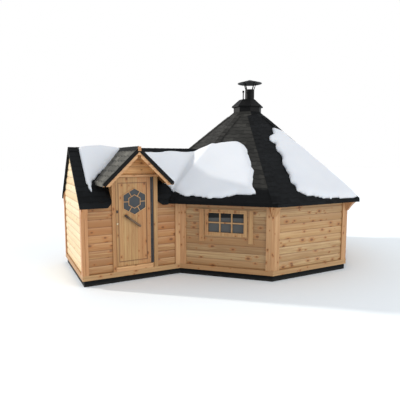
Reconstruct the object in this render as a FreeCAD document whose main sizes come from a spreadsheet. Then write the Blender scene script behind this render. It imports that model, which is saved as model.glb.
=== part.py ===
import os
import re

import FreeCAD, Part
import Sketcher


# Driving sizes in millimetres and degrees
# The cabin is a regular octagon about the Z axis and the porch extension runs out along -X.

SIZES = {
    "cabin_side": 1850,
    "wall_thick": 45,
    "board_height": 140,
    "board_bulge": 10,
    "plinth_height": 113,
    "plinth_width": 90,
    "plinth_setback": 12,
    "base_height": 92,
    "bearer_width": 90,
    "bearer_spacing": 700,
    "floor_thick": 28,
    "roof_thick": 42,
    "cabin_pitch": 40.9,
    "cabin_overhang": 223,
    "cabin_eave_height": 1406,
    "smoke_hole_reach": 270,
    "collar_reach": 304,
    "collar_height": 116,
    "post_reach": 130,
    "post_proud": 18,
    "post_bead": 28,
    "post_bead_step": 4,
    "post_nose": 34,
    "post_groove": 8,
    "porch_post_reach": 95,
    "inner_post_side": 125,
    "inner_post_width": 106,
    "bracket_foot_width": 84,
    "bracket_top_width": 200,
    "bracket_back": 50,
    "bracket_reach": 160,
    "bracket_drop": 370,
    "bracket_lip": 30,
    "bracket_sag": 10,
    "porch_bracket_reach": 54,
    "porch_bracket_drop": 215,
    "porch_length": 1825,
    "porch_half_width": 958,
    "porch_pitch": 44.5,
    "porch_eave_overhang": 72,
    "porch_gable_overhang": 41,
    "porch_eave_step": 16,
    "door_middle": 3100,
    "casing_half_width": 430,
    "casing_left_width": 64,
    "casing_right_width": 105,
    "casing_proud": 20,
    "jamb_step": 34,
    "eave_notch": 85,
    "sill_height": 50,
    "threshold_height": 35,
    "threshold_proud": 30,
    "header_height": 36,
    "header_proud": 52,
    "header_side": 8,
    "header_gap": 30,
    "dormer_half_width": 650,
    "dormer_pitch": 43.8,
    "dormer_reach": 300,
    "cheek_thick": 22,
    "barge_depth": 78,
    "barge_thick": 22,
    "barge_setback": 8,
    "barge_end_rise": 118,
    "ridge_beam_width": 58,
    "ridge_beam_depth": 92,
    "door_gap": 6,
    "door_latch_gap": 9,
    "door_setback": 4,
    "leaf_thick": 40,
    "field_border_side": 46,
    "field_border_hinge": 100,
    "field_border_foot": 85,
    "field_border_top": 102,
    "field_depth": 6,
    "field_board": 88,
    "field_groove_width": 6,
    "field_groove_depth": 3,
    "pane_drop": 444,
    "pane_shift": 12,
    "pane_reach": 212,
    "pane_frame_width": 36,
    "pane_frame_proud": 9,
    "pane_inner_reach": 118,
    "pane_bar": 18,
    "glass_thick": 5,
    "handle_radius": 15,
    "handle_left": 228,
    "handle_right": 106,
    "handle_drop": 223,
    "handle_fall": 247,
    "handle_stud_inset": 52,
    "handle_stand_off": 46,
    "stud_radius": 7,
    "catch_width": 26,
    "catch_height": 48,
    "catch_drop": 168,
    "lock_radius": 15,
    "lock_drop": 389,
    "lock_proud": 12,
    "fitting_edge": 20,
    "hinge_radius": 6,
    "hinge_plate_width": 28,
    "hinge_plate_thick": 3,
    "hinge_play": 0.3,
    "window_left": 620,
    "window_width": 686,
    "window_sill": 867,
    "window_height": 369,
    "window_frame_width": 66,
    "window_frame_proud": 16,
    "window_rim_width": 24,
    "window_rim_proud": 8,
    "window_bar": 24,
    "side_board_width": 90,
    "side_board_gap": 20,
    "side_board_foot": 680,
    "side_board_proud": 12,
    "side_board_bead": 13,
    "side_board_bead_proud": 6,
    "hat_reach": 345,
    "hat_top_reach": 182,
    "hat_skin": 8,
    "hat_brim": 24,
    "hat_height": 180,
    "pipe_radius": 107,
    "pipe_wall": 3,
    "pipe_offset": 58,
    "pipe_height": 238,
    "pipe_inside": 252,
    "cap_radius": 283,
    "cap_height": 82,
    "cap_gap": 146,
    "cap_skin": 4,
    "stay_width": 26,
    "stay_thick": 5,
    "stay_spread": 62,
    "stay_grip": 78,
    "rod_radius": 13,
    "rod_offset": 122,
    "clamp_radius": 22,
    "clamp_height": 40,
    "clamp_drop": 54,
}

# Sizes that follow from the driving ones

LAYOUT = {
    "half_turn": "180 / 8",
    "cabin_apothem": "cabin_side * (1 + sqrt(2)) / 2",
    "cabin_eave": "cabin_apothem + cabin_overhang",
    "cabin_rise": "tan(cabin_pitch)",
    "cabin_roof_drop": "roof_thick / cos(cabin_pitch)",
    "base_top": "plinth_height + base_height",
    "porch_eave_height": "cabin_eave_height - porch_eave_step",
    "porch_gable": "cabin_apothem + porch_length",
    "porch_end": "porch_gable + porch_gable_overhang",
    "porch_eave": "porch_half_width + porch_eave_overhang",
    "porch_rise": "tan(porch_pitch)",
    "porch_roof_drop": "roof_thick / cos(porch_pitch)",
    "porch_ridge_soffit": "porch_eave_height + porch_eave * porch_rise",
    "porch_ridge": "porch_ridge_soffit + porch_roof_drop",
    "dormer_rise": "tan(dormer_pitch)",
    "dormer_roof_drop": "roof_thick / cos(dormer_pitch)",
    "dormer_ridge_soffit": "porch_ridge - dormer_roof_drop",
    "dormer_front": "porch_half_width + dormer_reach",
    "casing_left": "-door_middle - casing_half_width",
    "casing_right": "-door_middle + casing_half_width",
    "header_top": "dormer_ridge_soffit - casing_half_width * dormer_rise - header_gap",
    "casing_top": "header_top - header_height",
    "sill_top": "base_top + sill_height",
    "threshold_top": "sill_top + threshold_height",
    "leaf_left": "casing_left + casing_left_width + door_latch_gap",
    "leaf_right": "casing_right - casing_right_width - door_gap",
    "leaf_foot": "threshold_top + door_gap",
    "leaf_top": "casing_top - door_gap",
    "leaf_front": "porch_half_width + door_setback",
    "hinge_x": "leaf_right + door_gap / 2",
    "hinge_y": "leaf_front + hinge_radius",
    "pane_x": "-door_middle - pane_shift",
    "pane_height": "leaf_top - pane_drop",
    "handle_high": "pane_height - handle_drop",
    "handle_low": "handle_high - handle_fall",
    "inner_corner": "cabin_apothem * sqrt(2) - porch_half_width",
    "inner_post_reach": "(porch_half_width - cabin_side / 2) * sqrt(2) + inner_post_side",
    "collar_foot": "cabin_eave_height + (cabin_eave - collar_reach) * cabin_rise + cabin_roof_drop",
    "collar_top": "collar_foot + collar_height",
    "hat_top": "collar_top + hat_height",
    "pipe_top": "hat_top + pipe_height",
    "pipe_foot": "collar_top - pipe_inside",
    "cap_rim_level": "pipe_top + cap_gap",
}

SHEET = "Sizes"
SET = "Layout"
FAR = 9000
QUARTER = 90
FACET = 45
LEFT_TURN = 180
FULL_TURN = 360
HEX_TURN = 60
SIDES = 8
WINDOW_FACET = 5
KNUCKLES = 7
WINDOW_COLUMNS = 3
CAP_STAYS = 4


doc = FreeCAD.newDocument("grill_hut")
sheet = doc.addObject("Spreadsheet::Sheet", SHEET)
for row, (size_name, size_value) in enumerate(SIZES.items(), start=1):
    sheet.set(f"A{row}", size_name)
    sheet.set(f"B{row}", str(size_value))
    sheet.setAlias(f"B{row}", size_name)
doc.recompute()
layout = doc.addObject("App::VarSet", SET)
OWNER = {size_name: SHEET for size_name in SIZES}


def formula(text):
    """A formula of the named sizes, with each name led by the object that holds it."""
    return re.sub(
        r"[a-z][a-z_]+",
        lambda word: f"{OWNER[word.group()]}.{word.group()}" if word.group() in OWNER else word.group(),
        str(text),
    )


def value(text):
    """The number that a formula of the named sizes gives now."""
    found = layout.evalExpression(formula(text))
    return float(getattr(found, "Value", found))


for size_name, text in LAYOUT.items():
    layout.addProperty("App::PropertyFloat", size_name)
    layout.setExpression(size_name, formula(text))
    OWNER[size_name] = SET
    doc.recompute()


# Ways of making the pieces

def bind(item, **formulas):
    """Tie sizes of an object to formulas of the named sizes."""
    for size, text in formulas.items():
        item.setExpression(size, formula(text))
    return item


def place(item, x="0", y="0", z="0", turn=0, axis=(0, 0, 1)):
    """Set an object at formulas of the named sizes, turned about an axis."""
    rotation = FreeCAD.Rotation(FreeCAD.Vector(*axis), turn)
    item.Placement = FreeCAD.Placement(FreeCAD.Vector(), rotation)
    for direction, text in (("x", x), ("y", y), ("z", z)):
        item.setExpression(f"Placement.Base.{direction}", formula(text))
    return item


def new_body(label):
    body = doc.addObject("PartDesign::Body", label)
    body.Label = label
    return body


def origin_part(body, role):
    """One of a body's own origin planes or axes."""
    return next(part for part in body.Origin.OriginFeatures if part.Role == role)


def outline(body, plane, corners, arcs=None):
    """A closed sketch through corners given as formulas.

    arcs maps the number of a side to its sagitta and chord; such a side bulges to its right.
    """
    arcs = arcs or {}
    sketch = body.newObject("Sketcher::SketchObject", f"{body.Label}_outline")
    sketch.AttachmentSupport = [(origin_part(body, plane), "")]
    sketch.MapMode = "FlatFace"
    points = [FreeCAD.Vector(value(x), value(y), 0) for x, y in corners]
    ends = []
    for side, start in enumerate(points):
        end = points[(side + 1) % len(points)]
        if side in arcs:
            across = (end - start).cross(FreeCAD.Vector(0, 0, 1)).normalize()
            crest = (start + end) / 2 + across * value(arcs[side][0])
            sketch.addGeometry(Part.Arc(start, crest, end))
        else:
            sketch.addGeometry(Part.LineSegment(start, end))
        forward = sketch.getPoint(side, 1).distanceToPoint(start) < sketch.getPoint(side, 2).distanceToPoint(start)
        ends.append((1, 2) if forward else (2, 1))
    for side, (x, y) in enumerate(corners):
        following = (side + 1) % len(points)
        joint = Sketcher.Constraint("Coincident", side, ends[side][1], following, ends[following][0])
        sketch.addConstraint(joint)
        for kind, line, text in (("DistanceX", -2, x), ("DistanceY", -1, y)):
            if text == "0":
                sketch.addConstraint(Sketcher.Constraint("PointOnObject", side, ends[side][0], line))
                continue
            made = sketch.addConstraint(
                Sketcher.Constraint(kind, -1, 1, side, ends[side][0], value(text))
            )
            sketch.setExpression(f"Constraints[{made}]", formula(text))
    for side, (sagitta, chord) in arcs.items():
        radius = f"(({chord}) ^ 2 / 4 + ({sagitta}) ^ 2) / 2 / abs({sagitta})"
        made = sketch.addConstraint(Sketcher.Constraint("Radius", side, value(radius)))
        sketch.setExpression(f"Constraints[{made}]", formula(radius))
    return sketch


def pad(body, sketch, length, both_ways=True, backwards=False):
    """Thicken an outline, to both sides of its plane or to one."""
    made = body.newObject("PartDesign::Pad", f"{body.Label}_pad")
    made.Profile = sketch
    made.SideType = "Symmetric" if both_ways else "One side"
    made.Reversed = backwards
    bind(made, Length=length)
    sketch.Visibility = False
    return made


def pocket(body, sketch):
    """Cut an outline right through, to both sides of its plane."""
    made = body.newObject("PartDesign::Pocket", f"{body.Label}_pocket")
    made.Profile = sketch
    made.Type = "ThroughAll"
    made.SideType = "Symmetric"
    return made


def mirror(body, feature, plane):
    """Repeat a feature on the other side of one of the body's planes."""
    doc.recompute()
    made = body.newObject("PartDesign::Mirrored", f"{body.Label}_mirrored")
    made.Originals = [feature]
    made.MirrorPlane = (origin_part(body, plane), [""])
    body.Tip = made
    return made


def box(label, x, y, z):
    """A block between pairs of formulas along X, Y and Z."""
    block = doc.addObject("Part::Box", label)
    bind(block, Length=f"({x[1]}) - ({x[0]})", Width=f"({y[1]}) - ({y[0]})", Height=f"({z[1]}) - ({z[0]})")
    return place(block, x[0], y[0], z[0])


def cylinder(label, radius, height, **at):
    round_bar = doc.addObject("Part::Cylinder", label)
    bind(round_bar, Radius=radius, Height=height)
    return place(round_bar, **at)


def octagon(label, reach, height, z):
    """An eight-sided prism whose flats lie at a reach from the Z axis."""
    prism = doc.addObject("Part::Prism", label)
    prism.Polygon = SIDES
    bind(prism, Circumradius=f"({reach}) / cos(half_turn)", Height=height)
    place(prism, z=z, turn=value("half_turn"))
    return prism


def cut(label, base, tool):
    made = doc.addObject("Part::Cut", label)
    made.Base = base
    made.Tool = tool
    return made


def common(label, base, tool):
    made = doc.addObject("Part::Common", label)
    made.Base = base
    made.Tool = tool
    return made


def fuse(label, shapes):
    made = doc.addObject("Part::MultiFuse", label)
    made.Shapes = shapes
    return made


def group(label, shapes):
    """Like pieces that don't touch, kept as one sub-part."""
    made = doc.addObject("Part::Compound", label)
    made.Links = shapes
    return made


parts = []


def keep(item, label=None):
    """Name a finished sub-part and put it on the list of what is written."""
    item.Label = label or item.Label
    parts.append(item)
    return item


def cabin_soffit(reach):
    """Height of the cabin roof's underside at a reach from the axis."""
    return f"(cabin_eave_height + (cabin_eave - ({reach})) * cabin_rise)"


def porch_soffit(reach):
    """Height of the porch roof's underside at a reach from the ridge line."""
    return f"(porch_ridge_soffit - ({reach}) * porch_rise)"


def porch_top(reach):
    """Height of the porch roof's upper face at a reach from the ridge line."""
    return f"(porch_ridge - ({reach}) * porch_rise)"


def dormer_soffit(reach):
    """Height of the dormer roof's underside at a reach from its ridge line."""
    return f"(dormer_ridge_soffit - ({reach}) * dormer_rise)"


# Base: black plinth beams round both rooms, bearers across and a boarded floor

plinth_outer = "cabin_apothem - plinth_setback"
plinth_inner = f"{plinth_outer} - plinth_width"
cabin_plinth = cut(
    "cabin_plinth",
    octagon("cabin_plinth_outside", plinth_outer, "plinth_height", "0"),
    octagon("cabin_plinth_inside", plinth_inner, "plinth_height", "0"),
)
keep(cabin_plinth)


def porch_plinth():
    """Three beams under the porch walls, which meet the cabin's ring."""
    body = new_body("porch_plinth_run")
    near = "-cabin_apothem / 2"
    far = "-porch_gable + plinth_setback"
    side = "porch_half_width - plinth_setback"
    corners = [
        (near, f"-({side})"),
        (near, f"-({side} - plinth_width)"),
        (f"{far} + plinth_width", f"-({side} - plinth_width)"),
        (f"{far} + plinth_width", f"{side} - plinth_width"),
        (near, f"{side} - plinth_width"),
        (near, side),
        (far, side),
        (far, f"-({side})"),
    ]
    pad(body, outline(body, "XY_Plane", corners), "plinth_height", both_ways=False)
    return cut("porch_plinth", body, octagon("porch_plinth_end", plinth_outer, "plinth_height", "0"))


keep(porch_plinth())


def bearers():
    """Beams on the ground between the plinth beams, which carry the floor."""
    made = []
    for name, middle in (("near", "-bearer_spacing"), ("middle", "0"), ("far", "bearer_spacing")):
        edges = (f"{middle} - bearer_width / 2", f"{middle} + bearer_width / 2")
        span = (f"-({plinth_inner})", plinth_inner)
        made.append(box(f"bearer_{name}", span, edges, ("0", "plinth_height")))
    span = ("-porch_gable + plinth_setback + plinth_width", f"-({plinth_outer})")
    made.append(box("bearer_porch", span, ("-bearer_width / 2", "bearer_width / 2"), ("0", "plinth_height")))
    return group("floor_bearers", made)


keep(bearers())
floor_reach = "cabin_apothem - wall_thick"
keep(octagon("cabin_floor", floor_reach, "floor_thick", "plinth_height"))


def porch_floor():
    """The porch's floor boards, notched round its two end posts."""
    body = new_body("porch_floor_run")
    far, notch = "-porch_gable + wall_thick", "-porch_gable + porch_post_reach"
    side, inside = "porch_half_width - wall_thick", "porch_half_width - porch_post_reach"
    near = "-cabin_apothem / 2"
    corners = [
        (far, f"-({inside})"),
        (notch, f"-({inside})"),
        (notch, f"-({side})"),
        (near, f"-({side})"),
        (near, side),
        (notch, side),
        (notch, inside),
        (far, inside),
    ]
    pad(body, outline(body, "XY_Plane", corners), "floor_thick", both_ways=False)
    place(body, z="plinth_height")
    return cut("porch_floor", body, octagon("porch_floor_end", floor_reach, "floor_thick", "plinth_height"))


keep(porch_floor())


# Base boards: a plain board round the foot of the walls, on which walls and posts stand

def base_boards():
    """The boards round the cabin, open to the porch, and the three round the porch."""
    inner, outer = "cabin_apothem - wall_thick", "cabin_apothem + post_proud"
    ring = cut(
        "cabin_base_ring",
        octagon("cabin_base_outside", outer, "base_height", "plinth_height"),
        octagon("cabin_base_inside", inner, "base_height", "plinth_height"),
    )
    gap = "porch_half_width - wall_thick"
    passage = box(
        "cabin_base_passage",
        ("-2 * cabin_apothem", "-cabin_apothem / 2"),
        (f"-({gap})", gap),
        ("plinth_height", "base_top"),
    )
    body = new_body("porch_base_run")
    far, near = "-porch_gable - post_proud", "-cabin_apothem / 2"
    side = "porch_half_width + post_proud"
    corners = [
        (near, f"-({side})"),
        (near, f"-({gap})"),
        ("-porch_gable + wall_thick", f"-({gap})"),
        ("-porch_gable + wall_thick", gap),
        (near, gap),
        (near, side),
        (far, side),
        (far, f"-({side})"),
    ]
    pad(body, outline(body, "XY_Plane", corners), "base_height", both_ways=False)
    place(body, z="plinth_height")
    beside_cabin = octagon("porch_base_end", outer, "base_height", "plinth_height")
    keep(cut("cabin_base_boards", ring, passage))
    keep(cut("porch_base_boards", body, beside_cabin))


base_boards()


# Walls: stacked boards with rounded faces, standing on the base boards and cut to the roof's slope

def board_wall(label, length, top, foot="base_top", **at):
    """A wall of stacked boards whose crests lie in the local YZ plane, facing +X."""
    body = new_body(label)
    corners = [
        ("-wall_thick", foot),
        ("-board_bulge", foot),
        ("-board_bulge", f"{foot} + board_height"),
        ("-wall_thick", f"{foot} + board_height"),
    ]
    board = pad(body, outline(body, "XZ_Plane", corners, {1: ("board_bulge", "board_height")}), length)
    doc.recompute()
    courses = body.newObject("PartDesign::LinearPattern", f"{label}_courses")
    courses.Originals = [board]
    courses.Direction = (origin_part(body, "Z_Axis"), [""])
    courses.Mode = "Spacing"
    bind(courses, Offset="board_height", Occurrences=f"max(ceil(({top} - ({foot})) / board_height); 1)")
    body.Tip = courses
    place(body, **at)
    return body


def slope_top(body, soffit, reach):
    """Cut a wall's top to a roof's underside; the wall faces down the slope."""
    corners = [
        ("-wall_thick", soffit(f"{reach} - wall_thick")),
        ("0", soffit(reach)),
        ("wall_thick", soffit(reach)),
        ("wall_thick", str(FAR)),
        ("-2 * wall_thick", str(FAR)),
        ("-2 * wall_thick", soffit(f"{reach} - wall_thick")),
    ]
    pocket(body, outline(body, "XZ_Plane", corners))
    return body


def cabin_wall(label, facet, low_reach="post_reach", high_reach="post_reach"):
    """One side of the octagon between its corner posts."""
    turn = FACET * facet
    shift = f"(({low_reach}) - ({high_reach})) / 2"
    body = board_wall(
        label,
        f"cabin_side - ({low_reach}) - ({high_reach})",
        cabin_soffit("cabin_apothem - wall_thick"),
        x=f"cabin_apothem * cos({turn}) - {shift} * sin({turn})",
        y=f"cabin_apothem * sin({turn}) + {shift} * cos({turn})",
        turn=turn,
    )
    return slope_top(body, cabin_soffit, "cabin_apothem")


wall_names = {0: "right_wall", 1: "back_right_wall", 2: "back_wall", 6: "front_wall", 7: "front_right_wall"}
for facet, wall_name in wall_names.items():
    keep(cabin_wall(wall_name, facet))
keep(cabin_wall("back_left_wall", 3, "post_reach", "inner_post_reach"))
window_wall = cabin_wall("window_wall", WINDOW_FACET, "inner_post_reach", "post_reach")

# The window's own place, along its wall from the inner corner
window_shift = "(inner_post_reach - post_reach) / 2"
window_y = f"window_left + window_width / 2 - cabin_side / 2 - {window_shift}"


def window_hole(grow):
    """Outline of the window's glass, grown on each side."""
    low, high = f"{window_y} - window_width / 2 - {grow}", f"{window_y} + window_width / 2 + {grow}"
    foot, top = f"window_sill - {grow}", f"window_sill + window_height + {grow}"
    return [(low, foot), (high, foot), (high, top), (low, top)]


pocket(window_wall, outline(window_wall, "YZ_Plane", window_hole("window_frame_width / 2")))
keep(window_wall)


def at_window_wall(item):
    """Set a piece in the window wall's own frame."""
    turn = FACET * WINDOW_FACET
    return place(
        item,
        x=f"cabin_apothem * cos({turn}) - {window_shift} * sin({turn})",
        y=f"cabin_apothem * sin({turn}) + {window_shift} * cos({turn})",
        turn=turn,
    )


def porch_side_wall(label, low, high):
    """Part of the porch's front wall between two places along X."""
    body = board_wall(
        label,
        f"({high}) - ({low})",
        porch_soffit("porch_half_width - wall_thick"),
        x=f"(({low}) + ({high})) / 2",
        y="-porch_half_width",
        turn=-QUARTER,
    )
    return slope_top(body, porch_soffit, "porch_half_width")


inner_post_end = "(-inner_corner - inner_post_width)"
keep(porch_side_wall("porch_front_wall_left", "-porch_gable + porch_post_reach", "casing_left"))
keep(porch_side_wall("porch_front_wall_right", "casing_right", inner_post_end))


def porch_back_wall():
    """The porch's plain back wall between its end post and the inner corner post."""
    low, high = "-porch_gable + porch_post_reach", inner_post_end
    body = board_wall(
        "porch_back_wall",
        f"({high}) - ({low})",
        porch_soffit("porch_half_width - wall_thick"),
        x=f"(({low}) + ({high})) / 2",
        y="porch_half_width",
        turn=QUARTER,
    )
    return slope_top(body, porch_soffit, "porch_half_width")


keep(porch_back_wall())


def gable_top(body, plane, half_width, soffit, middle="0"):
    """Cut a wall's top to the two slopes of a gable."""
    corners = [
        (f"{middle} - ({half_width})", soffit(half_width)),
        (middle, soffit("0")),
        (f"{middle} + {half_width}", soffit(half_width)),
        (f"{middle} + {half_width}", str(FAR)),
        (f"{middle} - ({half_width})", str(FAR)),
    ]
    pocket(body, outline(body, plane, corners))
    return body


porch_gable_wall = board_wall(
    "porch_gable_wall",
    "2 * (porch_half_width - porch_post_reach)",
    porch_soffit("0"),
    x="-porch_gable",
    turn=LEFT_TURN,
)
keep(gable_top(porch_gable_wall, "YZ_Plane", "porch_half_width", porch_soffit))


# Posts: an angled post at each free corner, and one in each inner corner beside the porch

def cabin_post(corner):
    """A post whose faces stand proud of the two walls that end on it."""
    body = new_body(f"cabin_post_{corner}")
    near, far = "cabin_apothem - wall_thick", "cabin_apothem + post_proud"
    face = f"{far} - post_bead_step"
    along = "cabin_side / 2 - post_reach"
    bead_end = f"{along} + post_bead"
    nose = f"({face}) / cos(half_turn) - post_nose * tan(half_turn)"

    def turned(side, reach, slide):
        """A point of the wall at one side of the corner, in the corner's own frame."""
        return (
            f"({reach}) * cos(half_turn) + ({slide}) * sin(half_turn)",
            f"{side} * (({slide}) * cos(half_turn) - ({reach}) * sin(half_turn))",
        )

    corners = [
        (f"({near}) / cos(half_turn)", "0"),
        turned("1", near, along),
        turned("1", far, along),
        turned("1", far, bead_end),
        turned("1", face, bead_end),
        (nose, "-post_nose"),
        (nose, "post_nose"),
        turned("-1", face, bead_end),
        turned("-1", far, bead_end),
        turned("-1", far, along),
        turned("-1", near, along),
    ]
    height = f"{cabin_soffit(far)} - base_top"
    pad(body, outline(body, "XY_Plane", corners), height, both_ways=False)
    return place(body, z="base_top", turn=FACET * corner - value("half_turn"))


free_corners = [1, 2, 3, 6, 7, 8]
cabin_posts = keep(group("cabin_posts", [cabin_post(corner) for corner in free_corners]))


def inner_post(side):
    """The post that fills the inner corner between the porch and the cabin.

    It is drawn in the slanted wall's own frame: low below the porch roof, high below the cabin's.
    """
    name = "inner_post_back" if side > 0 else "inner_post_front"
    sign = str(-side)

    def on_cabin(slide, reach):
        """A point along the cabin's slanted wall from its corner."""
        return (reach, f"{sign} * (({slide}) - cabin_side / 2)")

    def on_porch(x, reach):
        """A point of the porch's side wall, by its place along X and its reach from the ridge line."""
        return (f"(({reach}) - ({x})) * sqrt(0.5)", f"{sign} * (({x}) + ({reach})) * sqrt(0.5)")

    outer = "porch_half_width + post_proud"
    inner = "porch_half_width - wall_thick"
    face, back = "cabin_apothem + post_proud", "cabin_apothem - wall_thick"
    corners = [
        on_porch(f"-({back}) * sqrt(2) + {inner}", inner),
        on_cabin("inner_post_reach", back),
        on_cabin("inner_post_reach", face),
        on_porch(f"-({face}) * sqrt(2) + {outer}", outer),
        on_porch(inner_post_end, outer),
        on_porch(inner_post_end, inner),
    ]
    turn = LEFT_TURN - side * FACET
    pieces = []
    for level, height in (("low", porch_soffit(outer)), ("high", cabin_soffit(back))):
        body = new_body(f"{name}_{level}")
        sketch = outline(body, "XY_Plane", corners)
        pad(body, sketch, f"{height} - base_top", both_ways=False)
        pieces.append(place(body, z="base_top", turn=turn))
    beyond_hip = [
        ("0", "0"),
        ("2 * cabin_eave", f"-{sign} * 2 * cabin_eave * tan(half_turn)"),
        ("0", f"-{sign} * 2 * cabin_eave * tan(half_turn)"),
    ]
    pocket(pieces[1], outline(pieces[1], "XY_Plane", beyond_hip))
    above_roof = [
        (back, f"{cabin_soffit(back)} - base_top"),
        ("cabin_eave", "cabin_eave_height - base_top"),
        ("cabin_eave", str(FAR)),
        (back, str(FAR)),
    ]
    pocket(pieces[1], outline(pieces[1], "XZ_Plane", above_roof))
    return fuse(name, pieces)


def porch_post(side):
    """A square post at the porch's far corner, its top cut to the roof's slope."""
    body = new_body("porch_post_back" if side > 0 else "porch_post_front")
    sign = str(side)
    outer = "porch_half_width + post_proud"
    inner = "porch_half_width - porch_post_reach"
    corners = [
        (f"{sign} * ({inner})", "base_top"),
        (f"{sign} * ({outer})", "base_top"),
        (f"{sign} * ({outer})", porch_soffit(outer)),
        (f"{sign} * ({inner})", porch_soffit(inner)),
    ]
    width = "(porch_post_reach + post_proud)"
    pad(body, outline(body, "YZ_Plane", corners), width, both_ways=False)
    groove = [
        (f"{width} / 2 - post_groove / 2", f"{sign} * ({outer})"),
        (f"{width} / 2", f"{sign} * ({outer} - post_groove)"),
        (f"{width} / 2 + post_groove / 2", f"{sign} * ({outer})"),
    ]
    pocket(body, outline(body, "XY_Plane", groove))
    return place(body, x="-porch_gable - post_proud")


keep(group("porch_posts", [porch_post(-1), porch_post(1), inner_post(-1), inner_post(1)]))


def hipped_block(label, lower, upper, foot, brim, top):
    """An octagonal block with an upright brim and eight slopes, each cut off as a wedge."""
    body = new_body(label)
    ring = [
        (f"({lower}) / cos(half_turn) * cos({turn} + half_turn)", f"({lower}) / cos(half_turn) * sin({turn} + half_turn)")
        for turn in range(0, FULL_TURN, FACET)
    ]
    pad(body, outline(body, "XY_Plane", ring), f"({top}) - ({foot})", both_ways=False)
    wedge = [
        (lower, f"({brim}) - ({foot})"),
        (f"2 * ({lower})", f"({brim}) - ({foot})"),
        (f"2 * ({lower})", f"2 * (({top}) - ({foot}))"),
        (upper, f"2 * (({top}) - ({foot}))"),
        (upper, f"({top}) - ({foot})"),
    ]
    slope = pocket(body, outline(body, "XZ_Plane", wedge))
    doc.recompute()
    slopes = body.newObject("PartDesign::PolarPattern", f"{label}_slopes")
    slopes.Originals = [slope]
    slopes.Axis = (origin_part(body, "Z_Axis"), [""])
    slopes.Angle = FULL_TURN
    slopes.Occurrences = SIDES
    body.Tip = slopes
    return place(body, z=foot)


def eave_bracket(corner):
    """A bracket that flares from a corner post's nose to the roof's hip."""
    body = new_body(f"eave_bracket_{corner}")
    nose = "((cabin_apothem + post_proud) / cos(half_turn))"
    back, tip = f"({nose} - bracket_back)", f"({nose} + bracket_reach)"
    hip = "(cabin_apothem + post_proud)"
    high = cabin_soffit(f"{back} * cos(half_turn)")
    low = f"({cabin_soffit(hip)} - bracket_drop)"
    lip = f"({cabin_soffit(f'{tip} * cos(half_turn)')} - bracket_lip)"
    corners = [(back, low), (nose, low), (tip, lip), (tip, high), (back, high)]
    chord = f"sqrt(bracket_reach ^ 2 + ({lip} - {low}) ^ 2)"
    sketch = outline(body, "XZ_Plane", corners, {1: ("-bracket_sag", chord)})
    pad(body, sketch, "bracket_top_width")
    beside = [
        ("bracket_foot_width / 2", low),
        ("bracket_top_width", low),
        ("bracket_top_width", "cabin_eave_height"),
        ("bracket_top_width / 2", "cabin_eave_height"),
    ]
    cheek = pocket(body, outline(body, "YZ_Plane", beside))
    mirror(body, cheek, "XZ_Plane")
    return place(body, turn=FACET * corner - value("half_turn"))


def porch_bracket(side):
    """A bracket on the porch's end post below the eave."""
    body = new_body("porch_bracket_back" if side > 0 else "porch_bracket_front")
    face = "(porch_half_width + post_proud)"
    tip = f"({face} + porch_bracket_reach)"
    low = f"({porch_soffit(face)} - porch_bracket_drop)"
    corners = [
        (f"{side} * {face}", low),
        (f"{side} * {tip}", f"{porch_soffit(tip)} - bracket_sag"),
        (f"{side} * {tip}", porch_soffit(tip)),
        (f"{side} * {face}", porch_soffit(face)),
    ]
    pad(body, outline(body, "YZ_Plane", corners), "porch_post_reach + post_proud", both_ways=False)
    return place(body, x="-porch_gable - post_proud")


under_roof = hipped_block(
    "space_under_roof", "cabin_eave", "smoke_hole_reach", "plinth_height", "cabin_eave_height",
    cabin_soffit("smoke_hole_reach"),
)
corner_brackets = group("corner_brackets", [eave_bracket(corner) for corner in free_corners])
below = common("brackets_below_roof", corner_brackets, under_roof)
seated = cut("brackets_on_posts", below, cabin_posts)
keep(group("eave_brackets", [seated, porch_bracket(-1), porch_bracket(1)]))


# Cabin roof: eight boarded and covered panels that meet at the hips round a smoke hole

def roof_panel(label, facet):
    """One panel: a sloping slab cut to its share of the octagon."""
    body = new_body(label)
    corners = [
        ("cabin_eave", "cabin_eave_height"),
        ("cabin_eave", "cabin_eave_height + cabin_roof_drop"),
        ("collar_reach", f"{cabin_soffit('collar_reach')} + cabin_roof_drop"),
        ("smoke_hole_reach", f"{cabin_soffit('collar_reach')} + cabin_roof_drop"),
        ("smoke_hole_reach", cabin_soffit("smoke_hole_reach")),
    ]
    pad(body, outline(body, "XZ_Plane", corners), "2 * cabin_eave * tan(half_turn)")
    beyond = [
        ("0", "0"),
        ("2 * cabin_eave", "2 * cabin_eave * tan(half_turn)"),
        ("0", "2 * cabin_eave * tan(half_turn)"),
    ]
    hip_cut = pocket(body, outline(body, "XY_Plane", beyond))
    mirror(body, hip_cut, "XZ_Plane")
    return place(body, turn=FACET * facet)


panel_names = {
    0: "roof_panel_right",
    1: "roof_panel_back_right",
    2: "roof_panel_back",
    3: "roof_panel_back_left",
    5: "roof_panel_over_window",
    6: "roof_panel_front",
    7: "roof_panel_front_right",
}
for facet, panel_name in panel_names.items():
    keep(roof_panel(panel_name, facet))
porch_side_panel = roof_panel("roof_panel_over_porch", 4)
porch_prism = [
    ("0", "porch_ridge"),
    ("-2 * porch_eave", porch_top("2 * porch_eave")),
    ("2 * porch_eave", porch_top("2 * porch_eave")),
]
pocket(porch_side_panel, outline(porch_side_panel, "YZ_Plane", porch_prism))
keep(porch_side_panel)


# Porch roof: two slabs from the gable to the valleys on the cabin roof

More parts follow.
